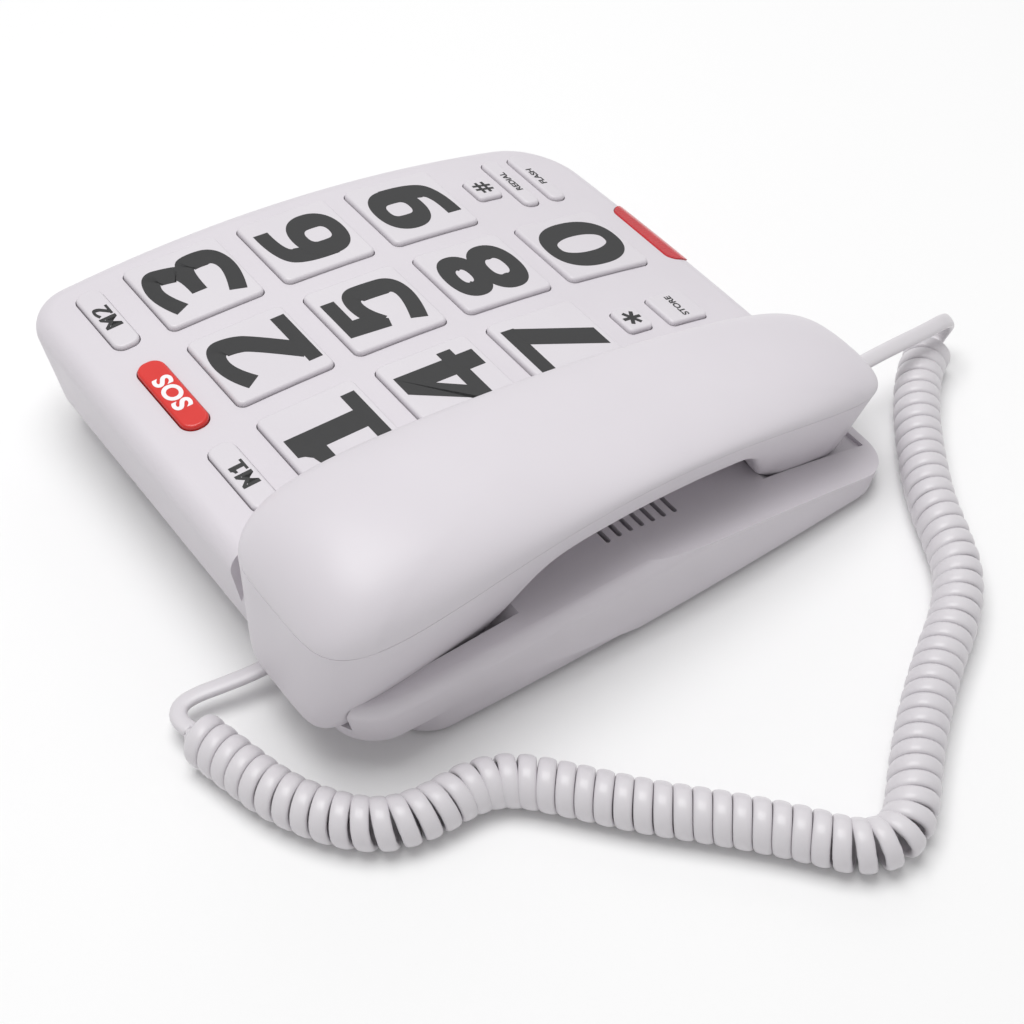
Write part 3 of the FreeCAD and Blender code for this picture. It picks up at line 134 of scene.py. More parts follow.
class Shader:
    """One node material with a Principled shader."""

    def __init__(self, name: str, constants: dict[str, object]) -> None:
        """Make the material.

        Args:
            name: The material's name.
            constants: Values of the Principled shader's own sockets.
        """
        self.material = bpy.data.materials.new(name)
        self.material.use_nodes = True
        self.tree = self.material.node_tree
        self.surface = self.tree.nodes["Principled BSDF"]
        for socket, value in constants.items():
            self.surface.inputs[socket].default_value = value

    def node(self, kind: str, settings: Optional[dict[str, object]] = None,
             inputs: Optional[dict[object, object]] = None) -> bpy.types.Node:
        """Add a node.

        Args:
            kind: The node's Blender type.
            settings: Its properties, set before its sockets.
            inputs: Values, sockets or Signals, by the socket's name or number.

        Returns:
            The new node.
        """
        made = self.tree.nodes.new(kind)
        for key, value in (settings or {}).items():
            setattr(made, key, value)
        for key, value in (inputs or {}).items():
            self.feed(made.inputs[key], value)
        return made

    def feed(self, socket: bpy.types.NodeSocket, value: object) -> None:
        """Link a Signal or socket to an input, or set the input's value.

        Args:
            socket: The input.
            value: What feeds it.
        """
        if isinstance(value, Signal):
            value = value.socket
        if isinstance(value, bpy.types.NodeSocket):
            self.tree.links.new(value, socket)
        else:
            socket.default_value = value

    def place(self) -> bpy.types.NodeSocket:
        """Object coordinates."""
        return self.node("ShaderNodeTexCoord").outputs["Object"]

    def noise(self, per_metre: float, detail: float = 2.0, rough: float = 0.5) -> Signal:
        """Cloudy noise on the object.

        Args:
            per_metre: How many features stand in a metre.
            detail: Octaves.
            rough: Strength of the finer octaves.

        Returns:
            The noise, about 0.5 on average.
        """
        made = self.node("ShaderNodeTexNoise", {"noise_dimensions": "3D"},
                         {"Vector": self.place(), "Scale": per_metre, "Detail": detail, "Roughness": rough})
        return Signal(self, made.outputs["Fac"])

    def blend(self, first: object, second: object, share: object) -> bpy.types.NodeSocket:
        """Mix two colours.

        Args:
            first: Colour or socket where share is zero.
            second: Colour or socket where share is one.
            share: Number or Signal.

        Returns:
            The mixed colour's socket.
        """
        made = self.node("ShaderNodeMix", {"data_type": "RGBA", "clamp_factor": True})
        self.feed(made.inputs[0], share)
        for socket, value in ((made.inputs[6], first), (made.inputs[7], second)):
            self.feed(socket, (*value, 1.0) if isinstance(value, tuple) else value)
        return made.outputs[2]

    def bump(self, height: Signal, depth: float, strength: float = 1.0) -> None:
        """Feed the surface's Normal from a height.

        Args:
            height: Height, from zero to one.
            depth: What a height of one stands for, in metres.
            strength: Share of the effect.
        """
        made = self.node("ShaderNodeBump", None, {"Height": height, "Distance": depth, "Strength": strength})
        self.feed(self.surface.inputs["Normal"], made.outputs[0])

    def paint(self, **sockets: object) -> None:
        """Feed the surface's sockets, named with underscores for spaces."""
        for key, value in sockets.items():
            self.feed(self.surface.inputs[key.replace("_", " ")], value)


# ---------------------------------------------------------------- finishes
@dataclass(frozen=True)
class MouldedPlastic:
    """Satin moulded plastic with a fine spark-eroded grain and faint cloudiness."""

    name: str
    colour: Colour
    shade: Colour
    roughness: float = 0.42
    grain_per_metre: float = 2600.0
    grain_depth: float = 0.00003
    coat: float = 0.0
    subsurface: float = 0.0
    cloud_per_metre: float = 28.0
    rub_per_metre: float = 90.0

    def make(self) -> Shader:
        """Build the finish.

        Returns:
            The shader.
        """
        shader = Shader(self.name, {
            "IOR": 1.49, "Coat Weight": self.coat, "Coat Roughness": 0.12,
            "Subsurface Weight": self.subsurface, "Subsurface Radius": (0.004, 0.0035, 0.0035),
            "Subsurface Scale": 0.6})
        cloud = shader.noise(self.cloud_per_metre, 3.0)
        grain = shader.noise(self.grain_per_metre, 2.0, 0.6)
        rub = shader.noise(self.rub_per_metre, 4.0, 0.65)
        shader.paint(Base_Color=shader.blend(self.colour, self.shade, (cloud - 0.35) * 1.6),
                     Roughness=self.roughness + (rub - 0.5) * 0.14 + (grain - 0.5) * 0.08)
        shader.bump(grain, self.grain_depth, 0.5)
        return shader


@dataclass(frozen=True)
class Metal:
    """Plated or drawn metal with a brushed haze."""

    name: str
    colour: Colour
    roughness: float
    haze_per_metre: float = 700.0
    dulling: float = 0.82

    def make(self) -> Shader:
        """Build the finish.

        Returns:
            The shader.
        """
        shader = Shader(self.name, {"Metallic": 1.0})
        haze = shader.noise(self.haze_per_metre, 3.0, 0.6)
        dull = tuple(self.dulling * channel for channel in self.colour)
        shader.paint(Base_Color=shader.blend(self.colour, dull, haze),
                     Roughness=self.roughness + (haze - 0.5) * 0.2)
        shader.bump(haze, 0.00002, 0.4)
        return shader


@dataclass(frozen=True)
class Rubber:
    """Matte rubber with a soft mottle."""

    name: str
    colour: Colour
    mottle_per_metre: float = 1500.0
    roughness: float = 0.78

    def make(self) -> Shader:
        """Build the finish.

        Returns:
            The shader.
        """
        shader = Shader(self.name, {"IOR": 1.5})
        mottle = shader.noise(self.mottle_per_metre, 3.0, 0.6)
        pale = tuple(1.25 * channel for channel in self.colour)
        shader.paint(Base_Color=shader.blend(self.colour, pale, mottle),
                     Roughness=self.roughness + (mottle - 0.5) * 0.1)
        shader.bump(mottle, 0.00004, 0.5)
        return shader


@dataclass(frozen=True)
class CircuitBoard:
    """Green solder mask with faint tracks and a glossy skin."""

    name: str
    colour: Colour
    track_scale: float = 180.0
    track_share: float = 0.06

    def make(self) -> Shader:
        """Build the finish.

        Returns:
            The shader.
        """
        shader = Shader(self.name, {"IOR": 1.5})
        tracks = shader.node("ShaderNodeTexBrick", {"offset": 0.5}, {
            "Vector": shader.place(), "Scale": self.track_scale, "Mortar Size": self.track_share})
        lines = Signal(shader, tracks.outputs["Fac"])
        pale = tuple(1.7 * channel for channel in self.colour)
        shader.paint(Base_Color=shader.blend(self.colour, pale, lines), Roughness=0.3 + lines * 0.15)
        shader.bump(lines, 0.00003, 0.6)
        return shader


@dataclass(frozen=True)
class LampLens:
    """Red lens: clear skin over a deeper, slightly ribbed red."""

    name: str
    colour: Colour
    deep: Colour
    rib_scale: float = 260.0
    cloud_per_metre: float = 160.0

    def make(self) -> Shader:
        """Build the finish.

        Returns:
            The shader.
        """
        shader = Shader(self.name, {"IOR": 1.49, "Coat Weight": 0.6, "Coat Roughness": 0.06,
                                    "Subsurface Weight": 0.25, "Subsurface Radius": (0.004, 0.001, 0.001)})
        ribs = shader.node("ShaderNodeTexWave", {"wave_type": "BANDS", "bands_direction": "X"}, {
            "Vector": shader.place(), "Scale": self.rib_scale, "Distortion": 0.4})
        rib = Signal(shader, ribs.outputs["Fac"])
        cloud = shader.noise(self.cloud_per_metre, 3.0)
        shader.paint(Base_Color=shader.blend(self.colour, self.deep, rib * 0.25 + (cloud - 0.4) * 0.8),
                     Roughness=0.22 + cloud * 0.1)
        shader.bump(rib, 0.00003, 0.25)
        return shader


@dataclass(frozen=True)
class PrintedInk:
    """Printed legend ink, slightly uneven."""

    name: str
    colour: Colour
    cloud_per_metre: float = 320.0
    roughness: float = 0.46

    def make(self) -> Shader:
        """Build the finish.

        Returns:
            The shader.
        """
        shader = Shader(self.name, {"IOR": 1.5})
        cloud = shader.noise(self.cloud_per_metre, 3.0, 0.6)
        pale = tuple(min(1.0, 1.22 * channel + 0.004) for channel in self.colour)
        shader.paint(Base_Color=shader.blend(self.colour, pale, cloud),
                     Roughness=self.roughness + (cloud - 0.5) * 0.12)
        shader.bump(cloud, 0.00001, 0.3)
        return shader


WHITE = (0.70, 0.665, 0.705)
WHITE_SHADE = (0.67, 0.635, 0.675)


class Finishes:
    """Every finish of the telephone, by the frame's material slot."""

    def __init__(self) -> None:
        """Make all the materials once."""
        made: dict[str, Shader] = {
            "housing_plastic": MouldedPlastic("HousingWhite", WHITE, WHITE_SHADE).make(),
            "key_plastic": MouldedPlastic(
                "KeyWhite", (0.71, 0.68, 0.715), WHITE_SHADE, roughness=0.36, grain_per_metre=3200.0,
                grain_depth=0.00002).make(),
            "red_key_plastic": MouldedPlastic(
                "KeyRed", (0.72, 0.035, 0.028), (0.62, 0.026, 0.022), roughness=0.34, grain_per_metre=3200.0,
                grain_depth=0.00002, coat=0.25).make(),
            "red_lens": LampLens("LampRed", (0.62, 0.035, 0.045), (0.42, 0.015, 0.022)).make(),
            "grey_rubber": Rubber("FootRubber", (0.16, 0.16, 0.17)).make(),
            "circuit_board": CircuitBoard("BoardGreen", (0.03, 0.16, 0.07)).make(),
            "steel": Metal("ZincSteel", (0.6, 0.6, 0.62), 0.34).make(),
            "black_plastic": MouldedPlastic(
                "BlackPlastic", (0.018, 0.018, 0.019), (0.03, 0.03, 0.031), roughness=0.5).make(),
            "can_aluminium": Metal("CanAluminium", (0.74, 0.74, 0.76), 0.28).make(),
            "plug_plastic": MouldedPlastic(
                "PlugClear", (0.78, 0.79, 0.8), (0.7, 0.71, 0.73), roughness=0.12, grain_per_metre=900.0,
                grain_depth=0.00001, coat=0.5, subsurface=0.2).make(),
            "cord_jacket": MouldedPlastic(
                "CordJacket", (0.70, 0.675, 0.70), (0.66, 0.635, 0.665), roughness=0.36,
                grain_per_metre=1400.0, grain_depth=0.00002, coat=0.1, subsurface=0.05).make(),
        }
        self.by_slot = {slot: shader.material for slot, shader in made.items()}
        self.black_ink = PrintedInk("InkCharcoal", (0.022, 0.022, 0.023)).make().material
        self.white_ink = PrintedInk("InkWhite", (0.8, 0.79, 0.8)).make().material

    def dress_frame(self, frame: dict) -> None:
        """Give every CAD node the finish of its material slot.
        """
        for name, node in frame["nodes"].items():
            slot = self._slot_of(node)
            node.data.materials.clear()
            node.data.materials.append(self.by_slot[slot])
            LOG.info("frame node %s: %s", name, slot)

    def _slot_of(self, node: bpy.types.Object) -> str:
        """The material slot of a CAD node, from the material that it was packed with.

        Args:
            node: The node's object.

        Returns:
            The slot.
        """
        packed = node.data.materials[0].name if node.data.materials else ""
        base = packed.split(".")[0]
        return base if base in self.by_slot else "housing_plastic"


# ---------------------------------------------------------------- mesh helpers
def new_piece(name: str, shape: bmesh.types.BMesh) -> bpy.types.Object:
    """Turn a bmesh into an object at the origin.

    Args:
        name: The piece's name.
        shape: The shape, which is freed.

    Returns:
        The object, smooth shaded.
    """
    mesh = bpy.data.meshes.new(name)
    shape.to_mesh(mesh)
    shape.free()
    mesh.shade_smooth()
    piece = bpy.data.objects.new(name, mesh)
    bpy.context.scene.collection.objects.link(piece)
    return piece


def smooth_line(points: Sequence[Sequence[float]], resolution: int) -> list[Vector]:
    """Points along a NURBS line that starts and ends on its first and last control points.

    Args:
        points: Control points in millimetres.
        resolution: Samples for each stretch.

    Returns:
        The line's points, in metres.
    """
    curve = bpy.data.curves.new("line", "CURVE")
    curve.dimensions = "3D"
    curve.resolution_u = resolution
    spline = curve.splines.new("NURBS")
    spline.points.add(len(points) - 1)
    for target, point in zip(spline.points, points):
        target.co = (*(Vector(point).to_3d() * MM), 1.0)
    spline.order_u = 3
    spline.use_endpoint_u = True
    carrier = bpy.data.objects.new("line", curve)
    mesh = bpy.data.meshes.new_from_object(carrier)
    line = [vertex.co.copy() for vertex in mesh.vertices]
    bpy.data.objects.remove(carrier)
    bpy.data.curves.remove(curve)
    bpy.data.meshes.remove(mesh)
    return line


def squarish_ring(count: int, roundness: float) -> list[tuple[float, float]]:
    """Points round a squarish ring with a half size of one.

    Args:
        count: How many points.
        roundness: 2 for a circle, more for a squarer ring.

    Returns:
        The points.
    """
    power = 2 / roundness
    made = []
    for index in range(count):
        turn = 2 * math.pi * index / count
        c, s = math.cos(turn), math.sin(turn)
        made.append((math.copysign(abs(c) ** power, c), math.copysign(abs(s) ** power, s)))
    return made


def apply_modifiers(piece: bpy.types.Object) -> None:
    """Replace a piece's mesh by what its modifiers make of it.

    Args:
        piece: The piece.
    """
    bpy.context.view_layer.update()
    ready = piece.evaluated_get(bpy.context.evaluated_depsgraph_get())
    mesh = bpy.data.meshes.new_from_object(ready)
    piece.modifiers.clear()
    piece.data = mesh


def finish_piece(piece: bpy.types.Object, body: str,
                 material: bpy.types.Material) -> None:
    """Dress a piece and make it ride on a body.

    Args:
        piece: The finished piece.
        body: The CAD body.
        material: Its finish.
    """
    piece.data.materials.clear()
    piece.data.materials.append(material)
    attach(piece, body)
    LOG.info("piece %s rides on %s", piece.name, body)


# ---------------------------------------------------------------- handset
@dataclass
class Handset:
    """The handset's two smooth shells, parted along a curved crease. Sizes in millimetres."""

    middle_x: float = -59.95
    middle_y: float = -0.4
    crease_z: float = 53.4
    tilt: float = 6.2
    half_length: float = 95.3
    half_width: float = 25.4
    end_widening: float = 2.9
    ear_widening: float = 4.4
    crown: float = 6.05
    end_crown: float = 15.8
    ear_crown: float = 6.2
    crease_sag: float = 16.7
    crease_lift: float = 3.7
    plan_power: float = 4.9
    crown_power: float = 4.0
    section_power: float = 2.25
    wall: float = 1.8
    draft: float = 0.33
    parting: float = 0.1
    dome_columns: int = 22
    dome_rows: int = 56
    cup_columns: int = 24
    cup_rows: int = 84
    edge_crease: float = 0.75
    smooth_levels: int = 2
    sharp_degrees: float = 40.0
    # Openings in the front shell: x from the handset's middle, y along the phone
    ear_y: float = 66.1
    mouth_y: float = -67.0
    screw_ys: tuple[float, float] = (38.5, -45.5)
    ear_holes: int = 8
    ear_circle: float = 7.0
    ear_hole: float = 1.0
    mouth_hole: float = 0.8
    mouth_step: float = 3.5
    screw_well: float = 2.4
    drill_z: float = 8.0
    drill_length: float = 60.0
    window_middle: tuple[float, float] = (-92.0, 22.0)      # y and z
    window_size: tuple[float, float, float] = (11.4, 16.0, 9.8)
    # Depth and extra inset of each ring of the front shell, from the crease inwards
    rings: tuple[tuple[float, float], ...] = (
        (0.0, 0.0), (0.05, 0.0), (0.35, 0.0), (0.7, 0.0), (0.93, 0.1), (1.0, 1.0))
    # Underside, as height over the table at places along the phone: y and z
    underside_shift: float = 1.2  # how far the table of the underside is moved along y
    underside: tuple[tuple[float, float], ...] = (
        (-140.0, 3.0), (-85.4, 7.9), (-58.5, 13.3), (-49.3, 21.3), (-46.6, 27.5), (-42.8, 34.0),
        (-37.0, 38.2), (-22.0, 40.6), (0.0, 43.2), (19.0, 44.3), (26.5, 43.6), (31.4, 40.6),
        (34.8, 35.0), (37.9, 28.2), (45.6, 18.8), (140.0, 18.7))
    ear_end_draft: float = 0.04
    bottom_rounding: float = 2.3

    def at(self, x: float, s: float, w: float) -> Vector:
        """A point of the handset's own frame, in metres in the phone's frame.

        Args:
            x: Across the handset.
            s: Along it, towards the ear end.
            w: Up from the crease at mid length.

        Returns:
            The point.
        """
        turn = math.radians(self.tilt)
        y = self.middle_y + s * math.cos(turn) - w * math.sin(turn)
        z = self.crease_z + s * math.sin(turn) + w * math.cos(turn)
        return Vector((self.middle_x + x, y, z)) * MM

    def crease(self, t: float) -> float:
        """Height of the crease over its middle.

        Args:
            t: Place along the handset, -1 at the mouth end and 1 at the ear end.

        Returns:
            The height in the handset's frame.
        """
        return -self.crease_sag * t * t + self.crease_lift * t ** 4

    def width(self, t: float) -> float:
        """Half width before the ends are rounded.

        Args:
            t: Place along the handset, from -1 to 1.

        Returns:
            The half width.
        """
        return self.half_width + self.end_widening * t * t + self.ear_widening * t

    def plan(self, u: float, v: float) -> tuple[float, float]:
        """Move a point of the square from -1 to 1 into the rounded outline.

        Args:
            u: Across, from -1 to 1.
            v: Along, from -1 to 1.

        Returns:
            The point across and along, on the same scale.
        """
        reach = max(abs(u), abs(v))
        if reach < TOUCH:
            return 0.0, 0.0
        norm = (abs(u) ** self.plan_power + abs(v) ** self.plan_power) ** (1 / self.plan_power)
        return u * reach / norm, v * reach / norm

    def below(self, s: float) -> float:
        """Height of the underside.

        Args:
            s: Place along the handset.

        Returns:
            The height in the handset's frame.
        """
        turn = math.radians(self.tilt)
        y = self.middle_y + s * math.cos(turn) + self.underside_shift
        stretches = zip(self.underside, self.underside[1:])
        (y0, z0), (y1, z1) = next(pair for pair in stretches if y <= pair[1][0])
        share = (y - y0) / (y1 - y0)
        z = z0 + (z1 - z0) * share
        return (z - self.crease_z - s * math.sin(turn)) / math.cos(turn)

    def dome_point(self, u: float, v: float) -> Vector:
        """A point of the back shell, over the crease.

        Args:
            u: Across, from -1 to 1.
            v: Along, from -1 to 1.

        Returns:
            The point.
        """
        x, t = self.plan(math.sin(u * math.pi / 2), math.sin(v * math.pi / 2))
        side = max(1e-6, 1 - abs(t) ** self.plan_power) ** (1 / self.plan_power)
        across = min(1.0, abs(x) / side)
        rise = self.crown + self.end_crown * t * t + self.ear_crown * t
        rise *= math.sqrt(max(0.0, 1 - abs(t) ** self.crown_power))
        height = rise * max(0.0, 1 - across ** self.section_power) ** (1 / self.section_power)
        return self.at(x * self.width(t), t * self.half_length, self.crease(t) + self.parting / 2 + height)

    def cup_point(self, u: float, v: float, depth: float, inset: float) -> Vector:
        """A point of the front shell, below the crease.

        Args:
            u: Across, from -1 to 1.
            v: Along, from -1 to 1.
            depth: From 0 at the crease to 1 at the underside.
            inset: How much further in the outline stands, in millimetres.

        Returns:
            The point.
        """
        x, t = self.plan(u, v)
        top = self.crease(t) - self.parting / 2
        drop = top - self.below(t * self.half_length)
        inward = self.draft * drop * depth + inset
        end_inward = (self.ear_end_draft * drop * depth if t > 0 else inward - inset) + inset
        across = x * self.width(t) - math.copysign(abs(x) ** self.bottom_rounding, x) * inward
        along = t * self.half_length - math.copysign(abs(t) ** self.bottom_rounding, t) * end_inward
        bottom = self.below(along)
        return self.at(across, along, top + (bottom - top) * depth)

    def back_shell(self) -> bpy.types.Object:
        """The long crowned dome.

        Returns:
            The piece.
        """
        shape = bmesh.new()
        bmesh.ops.create_grid(shape, x_segments=self.dome_columns, y_segments=self.dome_rows, size=1.0)
        for vertex in shape.verts:
            vertex.co = self.dome_point(vertex.co.x, vertex.co.y)
        return self._walled("handset_back", shape, 1.0)

    def front_shell(self) -> bpy.types.Object:
        """Grip underside and the two cups.

        Returns:
            The piece.
        """
        columns, rows = self.cup_columns, self.cup_rows
        last = len(self.rings) - 1
        shape = bmesh.new()
        bmesh.ops.create_grid(shape, x_segments=columns, y_segments=rows, size=1.0)
        for vertex in shape.verts:
            u, v = vertex.co.x, vertex.co.y
            ring = min(round((1 - abs(u)) * columns / 2), round((1 - abs(v)) * rows / 2), last)
            u = max(-1.0, min(1.0, u / (1 - 2 * ring / columns)))
            v = max(-1.0, min(1.0, v / (1 - 2 * ring / rows)))
            vertex.co = self.cup_point(u, v, *self.rings[ring])
        return self._walled("handset_front", shape, -1.0)

    def _walled(self, name: str, shape: bmesh.types.BMesh, up: float) -> bpy.types.Object:
        """Give an open skin its wall and smooth it.

        Args:
            name: The piece's name.
            shape: The outer skin.
            up: 1 where the skin's outside faces up, -1 where it faces down.

        Returns:
            The piece.
        """
        shape.normal_update()
        if sum(face.normal.z * face.calc_area() for face in shape.faces) * up < 0:
            bmesh.ops.reverse_faces(shape, faces=shape.faces)
        piece = new_piece(name, shape)
        wall = piece.modifiers.new("wall", "SOLIDIFY")
        wall.thickness = self.wall * MM
        wall.offset = -1.0
        wall.edge_crease_outer = self.edge_crease
        wall.edge_crease_inner = self.edge_crease
        smooth = piece.modifiers.new("smooth", "SUBSURF")
        smooth.levels = self.smooth_levels
        smooth.render_levels = self.smooth_levels
        apply_modifiers(piece)
        return piece

    def openings(self) -> bpy.types.Object:
        """What is cut from the front shell: sound holes, screw wells and the socket's window.

        Returns:
            The cutter.
        """
        shape = bmesh.new()
        places = []
        for index in range(self.ear_holes):
            turn = 2 * math.pi * index / self.ear_holes
            places.append((self.ear_circle * math.cos(turn), self.ear_y + self.ear_circle * math.sin(turn),
                           self.ear_hole))
        places.append((0.0, self.ear_y, self.ear_hole))
        places += [(self.mouth_step * step, self.mouth_y, self.mouth_hole) for step in (-1, 0, 1)]
        places += [(0.0, y, self.screw_well) for y in self.screw_ys]
        for x, y, radius in places:
            spot = Vector((self.middle_x + x, y, self.drill_z)) * MM
            bmesh.ops.create_cone(shape, cap_ends=True, segments=24, radius1=radius * MM, radius2=radius * MM,
                                  depth=self.drill_length * MM, matrix=Matrix.Translation(spot))
        wide, deep, high = self.window_size
        window = Matrix.Translation(Vector((self.middle_x, *self.window_middle)) * MM) @ Matrix.Diagonal(
            (wide * MM, deep * MM, high * MM, 1.0))
        bmesh.ops.create_cube(shape, size=1.0, matrix=window)
        return new_piece("handset_openings", shape)

    def build(self, finishes: Finishes) -> None:
        """Make, cut and dress both shells.

        Args:
            finishes: The telephone's finishes.
        """
        back = self.back_shell()
        front = self.front_shell()
        cutter = self.openings()
        cut = front.modifiers.new("openings", "BOOLEAN")
        cut.operation = "DIFFERENCE"
        cut.solver = "EXACT"
        cut.object = cutter
        apply_modifiers(front)
        bpy.data.objects.remove(cutter)
        for piece, node in ((back, "handset_back_shell"), (front, "handset_front_shell")):
            piece.data.set_sharp_from_angle(angle=math.radians(self.sharp_degrees))
            finish_piece(piece, "handset", finishes.by_slot["housing_plastic"])
            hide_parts(node)


# ---------------------------------------------------------------- keypad legends
class Ink(Enum):
    """Colour of a legend."""

    BLACK = "black"
    WHITE = "white"


Path = tuple[tuple[float, float], ...]


@dataclass(frozen=True)
class Glyph:
    """A heavy digit or sign: broad strokes, ovals and flat plates, in millimetres round its middle."""

    strokes: tuple[Path, ...] = ()
    ovals: tuple[tuple[float, float, float, float], ...] = ()
    plates: tuple[Path, ...] = ()
    half_turn: bool = False
    upright: float = 7.3
    level: float = 4.9
    layer: float = 0.012          # each part lies this much above the one before
    stroke_samples: int = 12
    oval_runs: int = 56
    oval_power: float = 2.3

    def add_to(self, shape: bmesh.types.BMesh) -> None:
        """Add the glyph's flat faces to a bmesh.

        Args:
            shape: The bmesh, in metres.
        """
        lines = [smooth_line(path, self.stroke_samples) for path in self.strokes]
        lines += [self._oval(*oval) for oval in self.ovals]
        for level, line in enumerate(lines):
            self._ribbon(shape, line, level * self.layer * MM)
        for level, path in enumerate(self.plates, len(lines)):
            shape.faces.new([shape.verts.new(Vector((x, y, level * self.layer)) * MM) for x, y in path])
        if self.half_turn:
            bmesh.ops.rotate(shape, verts=shape.verts, matrix=Matrix.Rotation(math.pi, 3, "Z"))

    def _oval(self, x: float, y: float, wide: float, high: float) -> list[Vector]:
        """A squarish oval that ends where it starts.

        Args:
            x: Its middle, across.
            y: Its middle, up.
            wide: Half its width.
            high: Half its height.

        Returns:
            Its points, in metres.
        """
        ring = squarish_ring(self.oval_runs, self.oval_power)
        return [Vector((x + across * wide, y + up * high, 0)) * MM for across, up in (*ring, ring[0])]

    def _ribbon(self, shape: bmesh.types.BMesh, line: list[Vector], lift: float) -> None:
        """Lay a flat ribbon along a line, broader where it runs up and down.

        Args:
            shape: The bmesh.
            line: The line's points, in metres.
            lift: Height of the ribbon, in metres.
        """
        runs = len(line) - 1
        closed = (line[0] - line[-1]).length < TOUCH
        grid = bmesh.ops.create_grid(shape, x_segments=runs, y_segments=1, size=1.0)["verts"]
        for vertex in grid:
            index = round((vertex.co.x + 1) / 2 * runs)
            before = line[index - 1] if index else line[-2 if closed else 0]
            after = line[index + 1] if index < runs else line[1 if closed else -1]
            ahead = (after - before).normalized()
            half = math.hypot(self.upright * ahead.y, self.level * ahead.x) / 2 * MM
            side = Vector((-ahead.y, ahead.x, 0))
            vertex.co = line[index] + side * half * (1 if vertex.co.y > 0 else -1) + Vector((0, 0, lift))
        bmesh.ops.remove_doubles(shape, verts=grid, dist=TOUCH)


def bars(*ends: tuple[float, float, float, float], width: float) -> tuple[Path, ...]:
    """Straight bars as plates.

    Args:
        ends: Both ends of each bar, x and y.
        width: Width of all of them.

    Returns:
        Their outlines.
    """
    plates = []
    for x0, y0, x1, y1 in ends:
        long = math.hypot(x1 - x0, y1 - y0)
        side_x, side_y = -(y1 - y0) / long * width / 2, (x1 - x0) / long * width / 2
        plates.append(((x0 + side_x, y0 + side_y), (x0 - side_x, y0 - side_y),
                       (x1 - side_x, y1 - side_y), (x1 + side_x, y1 + side_y)))
    return tuple(plates)


def plate(left: float, bottom: float, right: float, top: float) -> Path:
    """An upright rectangle as a plate.

    Args:
        left: Its left edge.
        bottom: Its lower edge.
        right: Its right edge.
        top: Its upper edge.

    Returns:
        Its outline.
    """
    return (left, bottom), (right, bottom), (right, top), (left, top)


TOP = 13.25                       # half a digit's height
SLAB = 8.8                        # inner edge of the slabs at a digit's top and foot
SIX_HOOK = ((-6.9, -5.4), (-7.2, 4.0), (-3.2, 10.9), (8.4, 10.7))
SIX_BOWL = (0.3, -4.6, 7.0, 6.3)
GLYPHS: dict[str, Glyph] = {
    "0": Glyph(ovals=((0.0, 0.0, 8.0, 11.2),)),
    "1": Glyph(plates=(
        plate(-3.4, -9.2, 4.2, TOP), plate(-10.0, -TOP, 10.8, -SLAB),
        ((-3.4, TOP), (-4.0, 11.4), (-5.6, 9.8), (-9.2, 8.9), (-9.2, 4.4), (-3.4, 4.4)))),
    "2": Glyph(
        strokes=(((-9.4, 8.4), (-3.0, 12.6), (7.4, 12.0), (7.2, 5.4), (4.6, 0.4), (-6.0, -10.6)),),
        plates=(plate(-10.6, -TOP, 10.8, -SLAB),)),
    "3": Glyph(strokes=(
        ((-9.0, 9.0), (-1.5, 12.8), (7.8, 11.2), (6.8, 5.6), (5.2, 0.9), (-4.4, 0.9)),
        ((-4.4, 0.9), (7.4, 0.9), (8.8, -4.0), (7.8, -10.6), (-1.0, -12.2), (-9.8, -8.8)))),
    "4": Glyph(plates=(
        plate(1.6, -TOP, 8.8, TOP), plate(-11.2, -7.8, 11.8, -3.2),
        ((1.2, TOP), (8.6, TOP), (-3.6, -3.2), (-11.2, -3.2), (-11.2, -5.0)))),
    "5": Glyph(
        strokes=(((-6.0, 1.2), (-1.0, 4.4), (8.2, 4.4), (8.2, -3.4), (7.6, -11.0), (-1.0, -12.0),
                  (-9.6, -9.0)),),
        plates=(plate(-7.6, 8.6, 8.8, TOP),
                ((-8.0, TOP), (-9.0, 0.0), (-5.6, -1.0), (-1.6, 4.0), (-1.2, TOP)))),
    "6": Glyph(strokes=(SIX_HOOK,), ovals=(SIX_BOWL,)),
    "7": Glyph(plates=(plate(-10.6, 8.6, 10.6, TOP),
                       ((2.4, 9.0), (-7.6, -TOP), (0.6, -TOP), (10.6, 9.4)))),
    "8": Glyph(ovals=((0.0, -5.6, 7.6, 5.3), (0.0, 6.4, 6.6, 4.4))),
    "9": Glyph(strokes=(SIX_HOOK,), ovals=(SIX_BOWL,), half_turn=True),
    "*": Glyph(plates=bars((0, -13, 0, 13), (-11.3, -6.5, 11.3, 6.5), (-11.3, 6.5, 11.3, -6.5), width=5.2)),
    "#": Glyph(plates=bars((-5.6, -13, -2.6, 13), (2.6, -13, 5.6, 13), (-12, -4.6, 12, -4.6),
                           (-12, 4.6, 12, 4.6), width=4.0)),
}


@dataclass(frozen=True)
class Legend:
    """A printed legend on a key. Sizes in millimetres."""

    key: str
    text: str
    column: float                 # -1, 0 or 1, from left to right
    y: Optional[float]            # the key's middle, or None where the row gives it
    row: float                    # row of dial keys, 0 for the rearmost
    height: float
    weight: float = 0.0
    stretch: float = 1.0
    ink: Ink = Ink.BLACK
    spacing: float = 1.0


